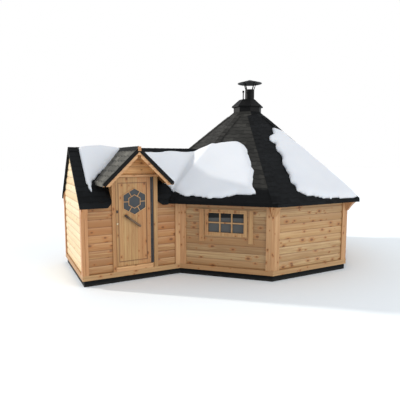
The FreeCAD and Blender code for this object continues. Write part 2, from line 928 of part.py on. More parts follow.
def porch_roof(label, side):
    """One slope of the porch roof, cut where it runs into the cabin roof."""
    body = new_body(label)
    sign = str(side)
    corners = [
        ("0", "porch_ridge"),
        (f"{sign} * porch_eave", "porch_eave_height + porch_roof_drop"),
        (f"{sign} * porch_eave", "porch_eave_height"),
        ("0", "porch_ridge_soffit"),
    ]
    pad(body, outline(body, "YZ_Plane", corners), "2 * porch_end")
    under_cabin_roof = [
        ("-cabin_eave", "0"),
        ("-cabin_eave", "cabin_eave_height"),
        ("0", cabin_soffit("0")),
        ("2 * porch_end", cabin_soffit("0")),
        ("2 * porch_end", "0"),
    ]
    pocket(body, outline(body, "XZ_Plane", under_cabin_roof))
    beyond_hip = [
        ("0", "0"),
        ("-2 * cabin_eave", f"{sign} * 2 * cabin_eave * tan(half_turn)"),
        ("0", f"{sign} * 2 * cabin_eave * tan(half_turn)"),
    ]
    pocket(body, outline(body, "XY_Plane", beyond_hip))
    return body


keep(porch_roof("porch_roof_back", 1))
porch_roof_front = porch_roof("porch_roof_front", -1)
dormer_inside = "casing_half_width - cheek_thick"
dormer_hole = [
    (f"-door_middle - ({dormer_inside})", "0"),
    (f"-door_middle + {dormer_inside}", "0"),
    (f"-door_middle + {dormer_inside}", dormer_soffit(dormer_inside)),
    ("-door_middle", "dormer_ridge_soffit"),
    (f"-door_middle - ({dormer_inside})", dormer_soffit(dormer_inside)),
]
pocket(porch_roof_front, outline(porch_roof_front, "XZ_Plane", dormer_hole))
eave_notch = [
    ("casing_left", "-porch_half_width + wall_thick"),
    ("casing_right", "-porch_half_width + wall_thick"),
    ("casing_right", "-porch_half_width"),
    ("casing_right + eave_notch", "-porch_eave"),
    ("casing_right + eave_notch", "-2 * porch_eave"),
    ("casing_left - eave_notch", "-2 * porch_eave"),
    ("casing_left - eave_notch", "-porch_eave"),
    ("casing_left", "-porch_half_width"),
]
pocket(porch_roof_front, outline(porch_roof_front, "XY_Plane", eave_notch))
keep(porch_roof_front)


# Dormer over the door: two slabs on the porch roof, side cheeks, boarded front and trim

def dormer_roof(label, side):
    """One slope of the dormer roof, cut where it lies on the porch roof."""
    body = new_body(label)
    sign = str(side)
    eave = f"-door_middle + {sign} * dormer_half_width"
    corners = [
        ("-door_middle", "porch_ridge"),
        (eave, f"{dormer_soffit('dormer_half_width')} + dormer_roof_drop"),
        (eave, dormer_soffit("dormer_half_width")),
        ("-door_middle", "dormer_ridge_soffit"),
    ]
    pad(body, outline(body, "XZ_Plane", corners), "2 * dormer_front")
    under_porch_roof = [
        ("2 * porch_eave", "porch_ridge"),
        ("0", "porch_ridge"),
        ("-2 * porch_eave", porch_top("2 * porch_eave")),
        ("-2 * porch_eave", f"-{FAR}"),
        ("2 * porch_eave", f"-{FAR}"),
    ]
    pocket(body, outline(body, "YZ_Plane", under_porch_roof))
    behind = [
        ("-2 * porch_end", "0"),
        ("0", "0"),
        ("0", "2 * dormer_front"),
        ("-2 * porch_end", "2 * dormer_front"),
    ]
    pocket(body, outline(body, "XY_Plane", behind))
    return body


keep(dormer_roof("dormer_roof_left", -1))
keep(dormer_roof("dormer_roof_right", 1))


def dormer_cheek(side):
    """A small side wall between the porch roof and the dormer's eave."""
    body = new_body("dormer_cheek_left" if side < 0 else "dormer_cheek_right")
    top = dormer_soffit("casing_half_width")
    front = "porch_half_width - wall_thick"
    back = f"(porch_ridge - {top}) / porch_rise"
    corners = [
        (f"-({front})", porch_top(front)),
        (f"-({front})", top),
        (f"-{back}", top),
    ]
    pad(body, outline(body, "YZ_Plane", corners), "cheek_thick", both_ways=False)
    edge = "casing_left" if side < 0 else "casing_right - cheek_thick"
    return place(body, x=edge)


keep(group("dormer_cheeks", [dormer_cheek(-1), dormer_cheek(1)]))
dormer_boards = board_wall(
    "dormer_boards",
    "2 * casing_half_width",
    "dormer_ridge_soffit",
    foot="header_top",
    x="-door_middle",
    y="-porch_half_width",
    turn=-QUARTER,
)
keep(gable_top(dormer_boards, "YZ_Plane", "dormer_half_width", dormer_soffit))


def barge_board(side):
    """A face board under the dormer roof's front edge, which widens in a curve at its foot."""
    body = new_body("barge_board_left" if side < 0 else "barge_board_right")
    sign = str(side)
    drop = "barge_depth / cos(dormer_pitch)"
    end = "dormer_half_width - barge_setback"
    foot = f"({dormer_soffit(end)} - barge_setback)"
    bend = f"({end} - 2 * barge_depth)"
    heel = f"({end} - barge_end_rise)"
    corners = [
        (f"{sign} * ridge_beam_width / 2", dormer_soffit("ridge_beam_width / 2")),
        (f"{sign} * ({end})", dormer_soffit(end)),
        (f"{sign} * ({end})", foot),
        (f"{sign} * {heel}", foot),
        (f"{sign} * {bend}", f"{dormer_soffit(bend)} - {drop}"),
        (f"{sign} * ridge_beam_width / 2", f"{dormer_soffit('ridge_beam_width / 2')} - {drop}"),
    ]
    pad(body, outline(body, "XZ_Plane", corners), "barge_thick", both_ways=False)
    return place(body, x="-door_middle", y="-dormer_front + barge_setback + barge_thick")


keep(group("dormer_barge_boards", [barge_board(-1), barge_board(1)]))


def ridge_beam():
    """The small beam whose end shows at the dormer's peak."""
    body = new_body("dormer_ridge_beam")
    half = "ridge_beam_width / 2"
    corners = [
        (f"-{half}", "dormer_ridge_soffit - ridge_beam_depth"),
        (half, "dormer_ridge_soffit - ridge_beam_depth"),
        (half, dormer_soffit(half)),
        ("0", "dormer_ridge_soffit"),
        (f"-{half}", dormer_soffit(half)),
    ]
    pad(body, outline(body, "XZ_Plane", corners), "dormer_reach", both_ways=False)
    return place(body, x="-door_middle", y="-porch_half_width")


keep(ridge_beam())


# Doorway: a board and threshold under the leaf, jambs beside it and a ledge over it

keep(
    box(
        "door_sill_board",
        ("casing_left + casing_left_width", "casing_right - casing_right_width"),
        ("-porch_half_width - casing_proud", "-porch_half_width + wall_thick"),
        ("base_top", "sill_top"),
    )
)
keep(
    box(
        "door_threshold",
        ("casing_left + casing_left_width", "casing_right - casing_right_width"),
        ("-porch_half_width - threshold_proud", "-porch_half_width + wall_thick"),
        ("sill_top", "threshold_top"),
    )
)


def right_jamb():
    """The hinge jamb, stepped back beside the leaf so that the hinge lies flat across both."""
    body = new_body("right_jamb")
    inner, outer = "casing_right - casing_right_width", "casing_right"
    corners = [
        (inner, "-porch_half_width + wall_thick"),
        (inner, "-leaf_front"),
        (f"{inner} + jamb_step", "-leaf_front"),
        (f"{inner} + jamb_step", "-porch_half_width - casing_proud"),
        (outer, "-porch_half_width - casing_proud"),
        (outer, "-porch_half_width + wall_thick"),
    ]
    pad(body, outline(body, "XY_Plane", corners), "casing_top - base_top", both_ways=False)
    return place(body, z="base_top")


casing_depth = ("-porch_half_width - casing_proud", "-porch_half_width + wall_thick")
keep(
    group(
        "door_jambs",
        [
            box(
                "left_jamb",
                ("casing_left", "casing_left + casing_left_width"),
                casing_depth,
                ("base_top", "casing_top"),
            ),
            right_jamb(),
        ],
    )
)
keep(
    box(
        "door_header",
        ("casing_left - header_side", "casing_right + header_side"),
        ("-porch_half_width - header_proud", "-porch_half_width + wall_thick"),
        ("casing_top", "header_top"),
    )
)


# Door leaf: a framed leaf with a sunk field and a six-sided pane

def hexagon(middle_x, middle_z, reach):
    """Corners of a hexagon that stands on a point, given its corner radius."""
    return [
        (f"{middle_x} + ({reach}) * cos({angle})", f"{middle_z} + ({reach}) * sin({angle})")
        for angle in range(HEX_TURN // 2, FULL_TURN, HEX_TURN)
    ]


def leaf_panel():
    body = new_body("leaf_panel")
    corners = [
        ("leaf_left", "leaf_foot"),
        ("leaf_right", "leaf_foot"),
        ("leaf_right", "leaf_top"),
        ("leaf_left", "leaf_top"),
    ]
    pad(body, outline(body, "XZ_Plane", corners), "leaf_thick - field_depth", both_ways=False)
    pocket(body, outline(body, "XZ_Plane", hexagon("pane_x", "pane_height", "pane_reach")))
    doc.recompute()
    field_face = "leaf_thick - field_depth"
    first = "leaf_left + field_border_side + field_board"
    groove = [
        (f"{first} - field_groove_width / 2", f"-({field_face})"),
        (f"{first} + field_groove_width / 2", f"-({field_face})"),
        (first, f"-({field_face}) + field_groove_depth"),
    ]
    opened = pocket(body, outline(body, "XY_Plane", groove))
    doc.recompute()
    grooves = body.newObject("PartDesign::LinearPattern", "leaf_grooves")
    grooves.Originals = [opened]
    grooves.Direction = (origin_part(body, "X_Axis"), [""])
    grooves.Mode = "Spacing"
    field_width = "(leaf_right - leaf_left - field_border_side - field_border_hinge)"
    bind(grooves, Offset="field_board", Occurrences=f"max(ceil({field_width} / field_board) - 1; 1)")
    body.Tip = grooves
    return place(body, y="-leaf_front + leaf_thick")


def leaf_border():
    """Stiles and rails that stand proud round the leaf's field."""
    body = new_body("leaf_border")
    pad(
        body,
        outline(
            body,
            "XZ_Plane",
            [
                ("leaf_left", "leaf_foot"),
                ("leaf_right", "leaf_foot"),
                ("leaf_right", "leaf_top"),
                ("leaf_left", "leaf_top"),
            ],
        ),
        "field_depth",
        both_ways=False,
    )
    field = [
        ("leaf_left + field_border_side", "leaf_foot + field_border_foot"),
        ("leaf_right - field_border_hinge", "leaf_foot + field_border_foot"),
        ("leaf_right - field_border_hinge", "leaf_top - field_border_top"),
        ("leaf_left + field_border_side", "leaf_top - field_border_top"),
    ]
    pocket(body, outline(body, "XZ_Plane", field))
    return place(body, y="-leaf_front + field_depth")


keep(fuse("door_leaf", [leaf_panel(), leaf_border()]))


def ring(label, outer, inner, thick, **at):
    """A hexagonal frame between two corner radii."""
    body = new_body(label)
    pad(body, outline(body, "XZ_Plane", hexagon("0", "0", outer)), thick, both_ways=False)
    pocket(body, outline(body, "XZ_Plane", hexagon("0", "0", inner)))
    return place(body, **at)


def pane_bars():
    """The moulding round the pane, the small inner hexagon and the six bars between them."""
    at = {"x": "pane_x", "y": "-leaf_front + field_depth", "z": "pane_height"}
    thick = "field_depth + pane_frame_proud"
    pieces = [
        ring("pane_moulding", "pane_reach + pane_frame_width", "pane_reach - pane_bar", thick, **at),
        ring("pane_inner_bars", "pane_inner_reach + pane_bar", "pane_inner_reach", thick, **at),
    ]
    for angle in range(0, FULL_TURN, HEX_TURN):
        body = new_body(f"pane_spoke_{angle}")
        flat = f"cos({HEX_TURN // 2})"
        near, far = f"(pane_inner_reach + pane_bar / 2) * {flat}", f"pane_reach * {flat}"
        half = "pane_bar / 2"
        corners = [(near, f"-{half}"), (far, f"-{half}"), (far, half), (near, half)]
        pad(body, outline(body, "XZ_Plane", corners), thick, both_ways=False)
        pieces.append(place(body, turn=-angle, axis=(0, 1, 0), **at))
    return fuse("door_pane_bars", pieces)


keep(pane_bars())


def door_glass():
    body = new_body("door_glass")
    pad(body, outline(body, "XZ_Plane", hexagon("0", "0", "pane_reach")), "glass_thick", both_ways=False)
    return place(body, x="pane_x", y="-leaf_front + field_depth + glass_thick", z="pane_height")


keep(door_glass())


# Door fittings: slanting stick handle on two studs, catch, lock and a hinge along the edge

def stick_handle():
    """A round stick across the leaf with a stud near each end."""
    left, right = "(-door_middle - handle_left)", "(-door_middle + handle_right)"
    run = f"({right} - {left})"
    fall = "handle_fall"
    stick = doc.addObject("Part::Cylinder", "handle_stick")
    bind(stick, Radius="handle_radius", Height=f"sqrt({run} ^ 2 + {fall} ^ 2)")
    slant = value(f"atan({fall} / {run})")
    place(
        stick,
        x=left,
        y="-leaf_front - handle_stand_off",
        z="handle_high",
        turn=QUARTER + slant,
        axis=(0, 1, 0),
    )
    studs = [stick]
    share = f"(handle_stud_inset / {run})"
    for name, share in (("high", share), ("low", f"(1 - {share})")):
        studs.append(
            cylinder(
                f"handle_stud_{name}",
                "stud_radius",
                "handle_stand_off + field_depth",
                x=f"{left} + {run} * {share}",
                y="-leaf_front + field_depth",
                z=f"handle_high - {fall} * {share}",
                turn=QUARTER,
                axis=(1, 0, 0),
            )
        )
    return fuse("door_handle", studs)


keep(stick_handle())
catch_x = "leaf_left + fitting_edge"
keep(
    group(
        "door_catch_and_lock",
        [
            box(
                "catch",
                (f"{catch_x} - catch_width / 2", f"{catch_x} + catch_width / 2"),
                ("-leaf_front - lock_proud", "-leaf_front"),
                ("pane_height - catch_drop - catch_height / 2", "pane_height - catch_drop + catch_height / 2"),
            ),
            cylinder(
                "lock",
                "lock_radius",
                "lock_proud",
                x=catch_x,
                y="-leaf_front",
                z="pane_height - lock_drop",
                turn=QUARTER,
                axis=(1, 0, 0),
            ),
        ],
    )
)


def hinge_half(label, side, first):
    """One plate of the long hinge with every second knuckle on it."""
    length = "(leaf_top - leaf_foot)"
    step = f"({length} / {KNUCKLES})"
    plate_face = "-leaf_front"
    near = f"hinge_x + {side} * (hinge_radius + hinge_plate_thick)"
    far = f"hinge_x + {side} * hinge_plate_width"
    across = (far, near) if side < 0 else (near, far)
    pieces = [
        box(
            f"{label}_plate",
            across,
            (f"{plate_face} - hinge_plate_thick", plate_face),
            ("leaf_foot", "leaf_top"),
        )
    ]
    for number in range(first, KNUCKLES, 2):
        low = f"leaf_foot + {number} * {step} + hinge_play / 2"
        barrel = cylinder(
            f"{label}_knuckle_{number}",
            "hinge_radius",
            f"{step} - hinge_play",
            x="hinge_x",
            y="-hinge_y",
            z=low,
        )
        web_across = (near, "hinge_x") if side < 0 else ("hinge_x", near)
        web = box(
            f"{label}_web_{number}",
            web_across,
            (f"{plate_face} - hinge_plate_thick", plate_face),
            (low, f"{low} + {step} - hinge_play"),
        )
        pieces += [barrel, web]
    return fuse(label, pieces)


keep(hinge_half("hinge_on_leaf", -1, 1))
keep(hinge_half("hinge_on_jamb", 1, 0))


# Window: frame with bars in the wall, glass, and a board at each side

def window_frame():
    """The frame that laps the wall's hole, with bars that make six panes."""
    body = new_body("window_border")
    depth = "window_frame_proud + wall_thick / 2"
    pad(body, outline(body, "YZ_Plane", window_hole("window_frame_width / 2")), depth, both_ways=False)
    pocket(body, outline(body, "YZ_Plane", window_hole("0")))
    place(body)
    lap = new_body("window_lap")
    pad(lap, outline(lap, "YZ_Plane", window_hole("window_frame_width")), "window_frame_proud", both_ways=False)
    pocket(lap, outline(lap, "YZ_Plane", window_hole("0")))
    rim = new_body("window_rim")
    rim_depth = "window_frame_proud + window_rim_proud"
    pad(rim, outline(rim, "YZ_Plane", window_hole("window_rim_width")), rim_depth, both_ways=False)
    pocket(rim, outline(rim, "YZ_Plane", window_hole("0")))
    return body, lap, rim


def window_bars():
    depth = ("-window_bar / 2", "window_bar / 2")
    low, high = f"{window_y} - window_width / 2", f"{window_y} + window_width / 2"
    middle = "window_sill + window_height / 2"
    bars = [
        box("window_cross_bar", depth, (low, high), (f"{middle} - window_bar / 2", f"{middle} + window_bar / 2"))
    ]
    for number in range(1, WINDOW_COLUMNS):
        at = f"{window_y} - window_width / 2 + window_width * {number} / {WINDOW_COLUMNS}"
        bars.append(
            box(
                f"window_bar_{number}",
                depth,
                (f"{at} - window_bar / 2", f"{at} + window_bar / 2"),
                ("window_sill", "window_sill + window_height"),
            )
        )
    return bars


border, lap, rim = window_frame()
place(border, x="-wall_thick / 2")
keep(at_window_wall(fuse("window_frame", [border, lap, rim] + window_bars())))
glass = new_body("window_glass")
pad(glass, outline(glass, "YZ_Plane", window_hole("0")), "glass_thick", both_ways=False)
glass_shift = "(-window_bar / 2 - glass_thick)"
turn = FACET * WINDOW_FACET
keep(
    place(
        glass,
        x=f"(cabin_apothem + {glass_shift}) * cos({turn}) - {window_shift} * sin({turn})",
        y=f"(cabin_apothem + {glass_shift}) * sin({turn}) + {window_shift} * cos({turn})",
        turn=turn,
    )
)


def side_boards():
    """Upright boards beside the window with a raised bead along both edges."""
    made = []
    for name, side in (("near", -1), ("far", 1)):
        body = new_body(f"side_board_{name}")
        inner = f"({window_y} + {side} * (window_width / 2 + window_frame_width + side_board_gap))"
        face, crest = "side_board_proud", "side_board_proud + side_board_bead_proud"

        def across(step):
            """A place across the board, from the edge beside the window."""
            return f"{inner} + {side} * ({step})"

        corners = [
            ("0", across("0")),
            (crest, across("0")),
            (crest, across("side_board_bead")),
            (face, across("side_board_bead")),
            (face, across("side_board_width - side_board_bead")),
            (crest, across("side_board_width - side_board_bead")),
            (crest, across("side_board_width")),
            ("0", across("side_board_width")),
        ]
        height = "window_sill + window_height + window_frame_width - side_board_foot"
        pad(body, outline(body, "XY_Plane", corners), height, both_ways=False)
        made.append(place(body, z="side_board_foot"))
    return group("window_side_boards", made)


keep(at_window_wall(side_boards()))


# Chimney: collar on the roof, hipped hat, pipe, cap on stays and a damper rod beside it

keep(
    cut(
        "collar_box",
        octagon("collar_outside", "collar_reach", "collar_height", "collar_foot"),
        octagon("collar_inside", "smoke_hole_reach", "collar_top", "cabin_eave_height"),
    )
)


def collar_hat():
    """The hipped hat with an upright brim, hollow below and open round the pipe."""
    block = hipped_block(
        "hat_block", "hat_reach", "hat_top_reach", "collar_top", "collar_top + hat_brim", "hat_top"
    )
    hollow = hipped_block(
        "hat_hollow",
        "smoke_hole_reach",
        "hat_top_reach - hat_skin",
        "collar_top",
        f"collar_top + hat_brim + (hat_reach - smoke_hole_reach - 2 * hat_skin) * {hat_rise}",
        "hat_top - hat_skin",
    )
    bore = cylinder("hat_bore", "pipe_radius", "hat_height", x="pipe_offset", z="collar_top")
    return cut("collar_hat", block, fuse("hat_inside", [hollow, bore]))


hat_rise = "((hat_height - hat_brim) / (hat_reach - hat_top_reach))"
keep(collar_hat())
keep(
    cut(
        "chimney_pipe",
        cylinder("pipe_outside", "pipe_radius", "pipe_top - pipe_foot", x="pipe_offset", z="pipe_foot"),
        cylinder("pipe_inside", "pipe_radius - pipe_wall", "pipe_top - pipe_foot", x="pipe_offset", z="pipe_foot"),
    )
)


def chimney_cap():
    """A shallow cone of sheet metal, turned about the pipe's axis."""
    body = new_body("chimney_cap")
    sketch = outline(
        body,
        "XZ_Plane",
        [
            ("0", "cap_rim_level + cap_height - cap_skin"),
            ("cap_radius", "cap_rim_level - cap_skin"),
            ("cap_radius", "cap_rim_level"),
            ("0", "cap_rim_level + cap_height"),
        ],
    )
    turned = body.newObject("PartDesign::Revolution", "cap_revolution")
    turned.Profile = sketch
    turned.ReferenceAxis = (origin_part(body, "Z_Axis"), [""])
    turned.Angle = FULL_TURN
    return place(body, x="pipe_offset")


keep(chimney_cap())


def cap_stay(number):
    """A flat stay that leans out from the pipe to the cap's underside."""
    body = new_body(f"cap_stay_{number}")
    inner = "pipe_radius"
    seat = "(pipe_radius + stay_spread)"
    under = f"(cap_rim_level - cap_skin + cap_height * (1 - {seat} / cap_radius))"
    far_under = f"(cap_rim_level - cap_skin + cap_height * (1 - ({seat} + stay_thick) / cap_radius))"
    corners = [
        (inner, "pipe_top - stay_grip"),
        (f"{inner} + stay_thick", "pipe_top - stay_grip"),
        (f"{inner} + stay_thick", "pipe_top"),
        (f"{seat} + stay_thick", far_under),
        (seat, under),
        (inner, "pipe_top"),
    ]
    pad(body, outline(body, "XZ_Plane", corners), "stay_width")
    return place(body, x="pipe_offset", turn=QUARTER * number + FACET)


keep(group("cap_stays", [cap_stay(number) for number in range(CAP_STAYS)]))


def damper_rod():
    """A thin rod beside the pipe with a clamp near its top."""
    clamp_level = "pipe_top - clamp_drop"
    rod = cylinder("rod", "rod_radius", f"{clamp_level} - hat_top", x="-rod_offset", z="hat_top")
    clamp_foot = f"{clamp_level} - clamp_height / 2"
    clamp = cylinder("clamp", "clamp_radius", "clamp_height", x="-rod_offset", z=clamp_foot)
    return fuse("damper_rod", [rod, clamp])


keep(damper_rod())


# Test every piece before anything is written

doc.recompute()
for item in doc.Objects:
    if "Invalid" in item.State or "Error" in item.State:
        raise RuntimeError(f"{item.Label} did not compute")
for item in parts:
    if item.Shape.isNull() or not item.Shape.isValid() or not item.Shape.Solids:
        raise RuntimeError(f"{item.Label} has no sound shape")
os.makedirs("parts", exist_ok=True)
for item in parts:
    item.Shape.exportStep(f"parts/{item.Label}.step")
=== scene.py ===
import math

import bmesh
import bpy
from mathutils import Matrix, Vector, noise


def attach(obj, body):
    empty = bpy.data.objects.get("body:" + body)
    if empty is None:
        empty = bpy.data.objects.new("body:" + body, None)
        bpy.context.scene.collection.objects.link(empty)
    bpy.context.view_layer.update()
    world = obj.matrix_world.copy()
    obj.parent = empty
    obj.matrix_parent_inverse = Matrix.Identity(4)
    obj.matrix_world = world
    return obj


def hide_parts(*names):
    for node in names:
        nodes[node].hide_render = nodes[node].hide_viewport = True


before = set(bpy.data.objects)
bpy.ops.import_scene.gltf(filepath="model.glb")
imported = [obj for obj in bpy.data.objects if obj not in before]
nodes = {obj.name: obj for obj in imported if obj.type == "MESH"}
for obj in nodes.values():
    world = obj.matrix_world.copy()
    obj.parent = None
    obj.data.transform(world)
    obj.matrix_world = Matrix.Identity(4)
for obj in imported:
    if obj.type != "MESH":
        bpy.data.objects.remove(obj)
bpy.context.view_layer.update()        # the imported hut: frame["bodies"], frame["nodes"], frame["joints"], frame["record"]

scene = bpy.context.scene
bpy.ops.object.select_all(action="DESELECT")


# Black plinth
# Planed beams under both rooms, stained black and set straight on the ground. The stain lets
# the grain through a little and is dusty at the foot, where rain throws up grit.

MM = 0.001


def colour(hex_code):
    """Linear colour of an sRGB hex value."""
    channels = [int(hex_code[place:place + 2], 16) / 255 for place in (1, 3, 5)]
    return tuple(c / 12.92 if c <= 0.04045 else ((c + 0.055) / 1.055) ** 2.4 for c in channels) + (1.0,)


def add(tree, kind, inputs=(), **settings):
    """Add a node with its settings, and give its inputs a value or a link each."""
    made = tree.nodes.new("ShaderNode" + kind)
    for name, setting in settings.items():
        setattr(made, name, setting)
    pairs = inputs.items() if isinstance(inputs, dict) else enumerate(inputs)
    for key, given in pairs:
        if isinstance(given, bpy.types.NodeSocket):
            tree.links.new(given, made.inputs[key])
        elif given is not None:
            made.inputs[key].default_value = given
    return made


def blend(tree, share, first, second):
    """Mix two colours by a share."""
    return add(tree, "Mix", {0: share, 6: first, 7: second}, data_type="RGBA")


def finish_named(name):
    """An empty material and its shader."""
    made = bpy.data.materials.new(name)
    made.use_nodes = True
    return made, made.node_tree, made.node_tree.nodes["Principled BSDF"]


def dress(material, *names):
    """Give CAD nodes a finish."""
    for name in names:
        for place in nodes[name].material_slots:
            place.material = material


def joined(pieces, name):
    """Join modelled pieces into the first one and name it."""
    bpy.ops.object.select_all(action="DESELECT")
    for piece in pieces:
        piece.select_set(True)
    bpy.context.view_layer.objects.active = pieces[0]
    bpy.ops.object.join()
    whole = bpy.context.object
    whole.name = name
    bpy.ops.object.select_all(action="DESELECT")
    return whole


def shape(piece, kind, name, **settings):
    """Add a modifier to the active piece, set it and apply it."""
    change = piece.modifiers.new(name, kind)
    for setting, value in settings.items():
        setattr(change, setting, value)
    bpy.ops.object.modifier_apply(modifier=change.name)


# Black stained spruce: dull, a little grain and dust
black_stain, tree, shader = finish_named("black_stained_spruce")
place = add(tree, "TexCoord").outputs["Object"]
grain = add(tree, "Mapping", {"Vector": place, "Scale": (2.0, 2.0, 40.0)})
streaks = add(tree, "TexNoise", {"Vector": grain.outputs[0], "Scale": 1.0, "Detail": 6.0})
height = add(tree, "SeparateXYZ", [place]).outputs["Z"]
foot = add(tree, "MapRange", {0: height, 1: 0.0, 2: 60 * MM, 3: 0.22, 4: 0.0})
dust = add(tree, "TexNoise", {"Vector": place, "Scale": 9.0, "Detail": 5.0})
dusty = add(tree, "Math", [foot.outputs[0], dust.outputs[0]], operation="MULTIPLY")
stain = blend(tree, streaks.outputs[0], colour("#090a0b"), colour("#131516"))
soiled = blend(tree, dusty.outputs[0], stain.outputs[2], colour("#6e6a62"))
tree.links.new(soiled.outputs[2], shader.inputs["Base Color"])
relief = add(tree, "Bump", {"Strength": 0.3, "Distance": 1 * MM, "Height": streaks.outputs[0]})
tree.links.new(relief.outputs[0], shader.inputs["Normal"])
shader.inputs["Roughness"].default_value = 0.7
shader.inputs["Specular IOR Level"].default_value = 0.12
dress(black_stain, "cabin_plinth", "porch_plinth")


# Floors and bearers
# Sawn pine boards, 95 mm wide, nailed on bearers between the plinth beams. Seen only through
# the open door and from below.

UPRIGHT = "upright"
LEVEL = "level"


def pine(name, along, board, start, pale, deep, warm="#a8683a", knots=1.0, shine=0.5, tone=0.5,
         sunk=1.0, painted_board_shade=0.0):
    """Oiled pine: boards side by side, each with its own tone, grain lines and knots.

    along is UPRIGHT, LEVEL or two vectors; board and start are the boards' width and first edge in metres.
    The last argument paints shade on the lower part of each board's curve and a highlight on its upper
    edge.
    """
    made, tree, shader = finish_named(name)
    place = add(tree, "TexCoord").outputs["Object"]
    normal = add(tree, "NewGeometry").outputs["True Normal"]
    if along in (UPRIGHT, LEVEL):
        across_wall = add(tree, "VectorMath", [(0.0, 0.0, 1.0), normal], operation="CROSS_PRODUCT")
        level = add(tree, "VectorMath", [across_wall.outputs[0]], operation="NORMALIZE")
        run = add(tree, "VectorMath", [place, level.outputs[0]], operation="DOT_PRODUCT").outputs["Value"]
        rise = add(tree, "SeparateXYZ", [place]).outputs["Z"]
        u, v = (rise, run) if along == UPRIGHT else (run, rise)
        side = add(tree, "VectorMath", [level.outputs[0], (3.1, 5.3, 0.0)], operation="DOT_PRODUCT")
        facing = add(tree, "Math", [side.outputs["Value"], 0.35], operation="SNAP").outputs[0]
    else:
        u = add(tree, "VectorMath", [place, along[0]], operation="DOT_PRODUCT").outputs["Value"]
        v = add(tree, "VectorMath", [place, along[1]], operation="DOT_PRODUCT").outputs["Value"]
        facing = add(tree, "Math", [0.0, 0.0]).outputs[0]
    from_start = add(tree, "Math", [v, start], operation="SUBTRACT")
    counted = add(tree, "Math", [from_start.outputs[0], board], operation="DIVIDE").outputs[0]
    number = add(tree, "Math", [counted], operation="FLOOR").outputs[0]
    within = add(tree, "Math", [counted], operation="FRACT").outputs[0]
    own = add(tree, "CombineXYZ", [number, facing, 0.5])
    chance = add(tree, "TexWhiteNoise", [own.outputs[0]], noise_dimensions="3D")
    # every board is cut from another tree, so its grain starts elsewhere
    slid = add(tree, "Math", [chance.outputs["Value"], 37.0, u], operation="MULTIPLY_ADD").outputs[0]
    on_board = add(tree, "CombineXYZ", [slid, v, facing]).outputs[0]
    # knots of up to about 70 mm, at most one to each 220 by 135 mm
    cells = add(tree, "Mapping", {"Vector": on_board, "Scale": (4.6, 7.4, 1.0)})
    spots = add(tree, "TexVoronoi", {"Vector": cells.outputs[0], "Scale": 1.0, "Randomness": 1.0},
                voronoi_dimensions="2D")
    size = add(tree, "SeparateColor", [spots.outputs["Color"]])
    reach = add(tree, "MapRange", {0: size.outputs["Red"], 1: 0.25, 2: 1.0, 3: 0.004, 4: 0.17 * knots})
    core = add(tree, "Math", [spots.outputs["Distance"], reach.outputs[0]], operation="DIVIDE").outputs[0]
    heart = add(tree, "MapRange", {0: core, 1: 0.55, 2: 1.0, 3: 1.0, 4: 0.0},
                interpolation_type="SMOOTHSTEP")
    halo = add(tree, "MapRange", {0: core, 1: 0.9, 2: 2.6, 3: 1.0, 4: 0.0},
               interpolation_type="SMOOTHSTEP")
    # growth rings cut lengthwise: long lines 5 to 20 mm apart that part round the knots
    parted = add(tree, "Math", [halo.outputs[0], 0.02, v], operation="MULTIPLY_ADD").outputs[0]
    lines = add(tree, "CombineXYZ", [slid, parted, chance.outputs["Value"]])
    stretched = add(tree, "Mapping", {"Vector": lines.outputs[0], "Scale": (1.1, 46.0, 5.0)})
    rings = add(tree, "TexNoise", {"Vector": stretched.outputs[0], "Scale": 1.0, "Detail": 5.0,
                                   "Roughness": 0.6, "Distortion": 0.4})
    fine = add(tree, "Mapping", {"Vector": lines.outputs[0], "Scale": (9.0, 420.0, 1.0)})
    fibre = add(tree, "TexNoise", {"Vector": fine.outputs[0], "Scale": 1.0, "Detail": 2.0})
    wide = add(tree, "TexNoise", {"Vector": on_board, "Scale": 2.3, "Detail": 3.0})
    shade = add(tree, "MapRange", {0: rings.outputs[0], 1: 0.35, 2: 0.68, 3: 0.0, 4: 1.0})
    toned = add(tree, "Math", [chance.outputs["Value"], tone, shade.outputs[0]], operation="MULTIPLY_ADD")
    broad = add(tree, "Math", [wide.outputs[0], 0.5, toned.outputs[0]], operation="MULTIPLY_ADD")
    depth = add(tree, "MapRange", {0: broad.outputs[0], 1: 0.15, 2: 1.55, 3: 0.0, 4: 1.0})
    plain = blend(tree, depth.outputs[0], colour(pale), colour(deep))
    other_hue = add(tree, "SeparateColor", [chance.outputs["Color"]]).outputs["Green"]
    warmth = add(tree, "MapRange", {0: other_hue, 1: 0.45, 2: 1.0, 3: 0.0, 4: 0.55})
    wood = blend(tree, warmth.outputs[0], plain.outputs[2], colour(warm))
    rim = add(tree, "Math", [halo.outputs[0], 0.5], operation="MULTIPLY")
    ringed = blend(tree, rim.outputs[0], wood.outputs[2], colour("#a5652b"))
    heart_share = add(tree, "Math", [heart.outputs[0], 0.75], operation="MULTIPLY")
    knotted = blend(tree, heart_share.outputs[0], ringed.outputs[2], colour("#5f3512"))
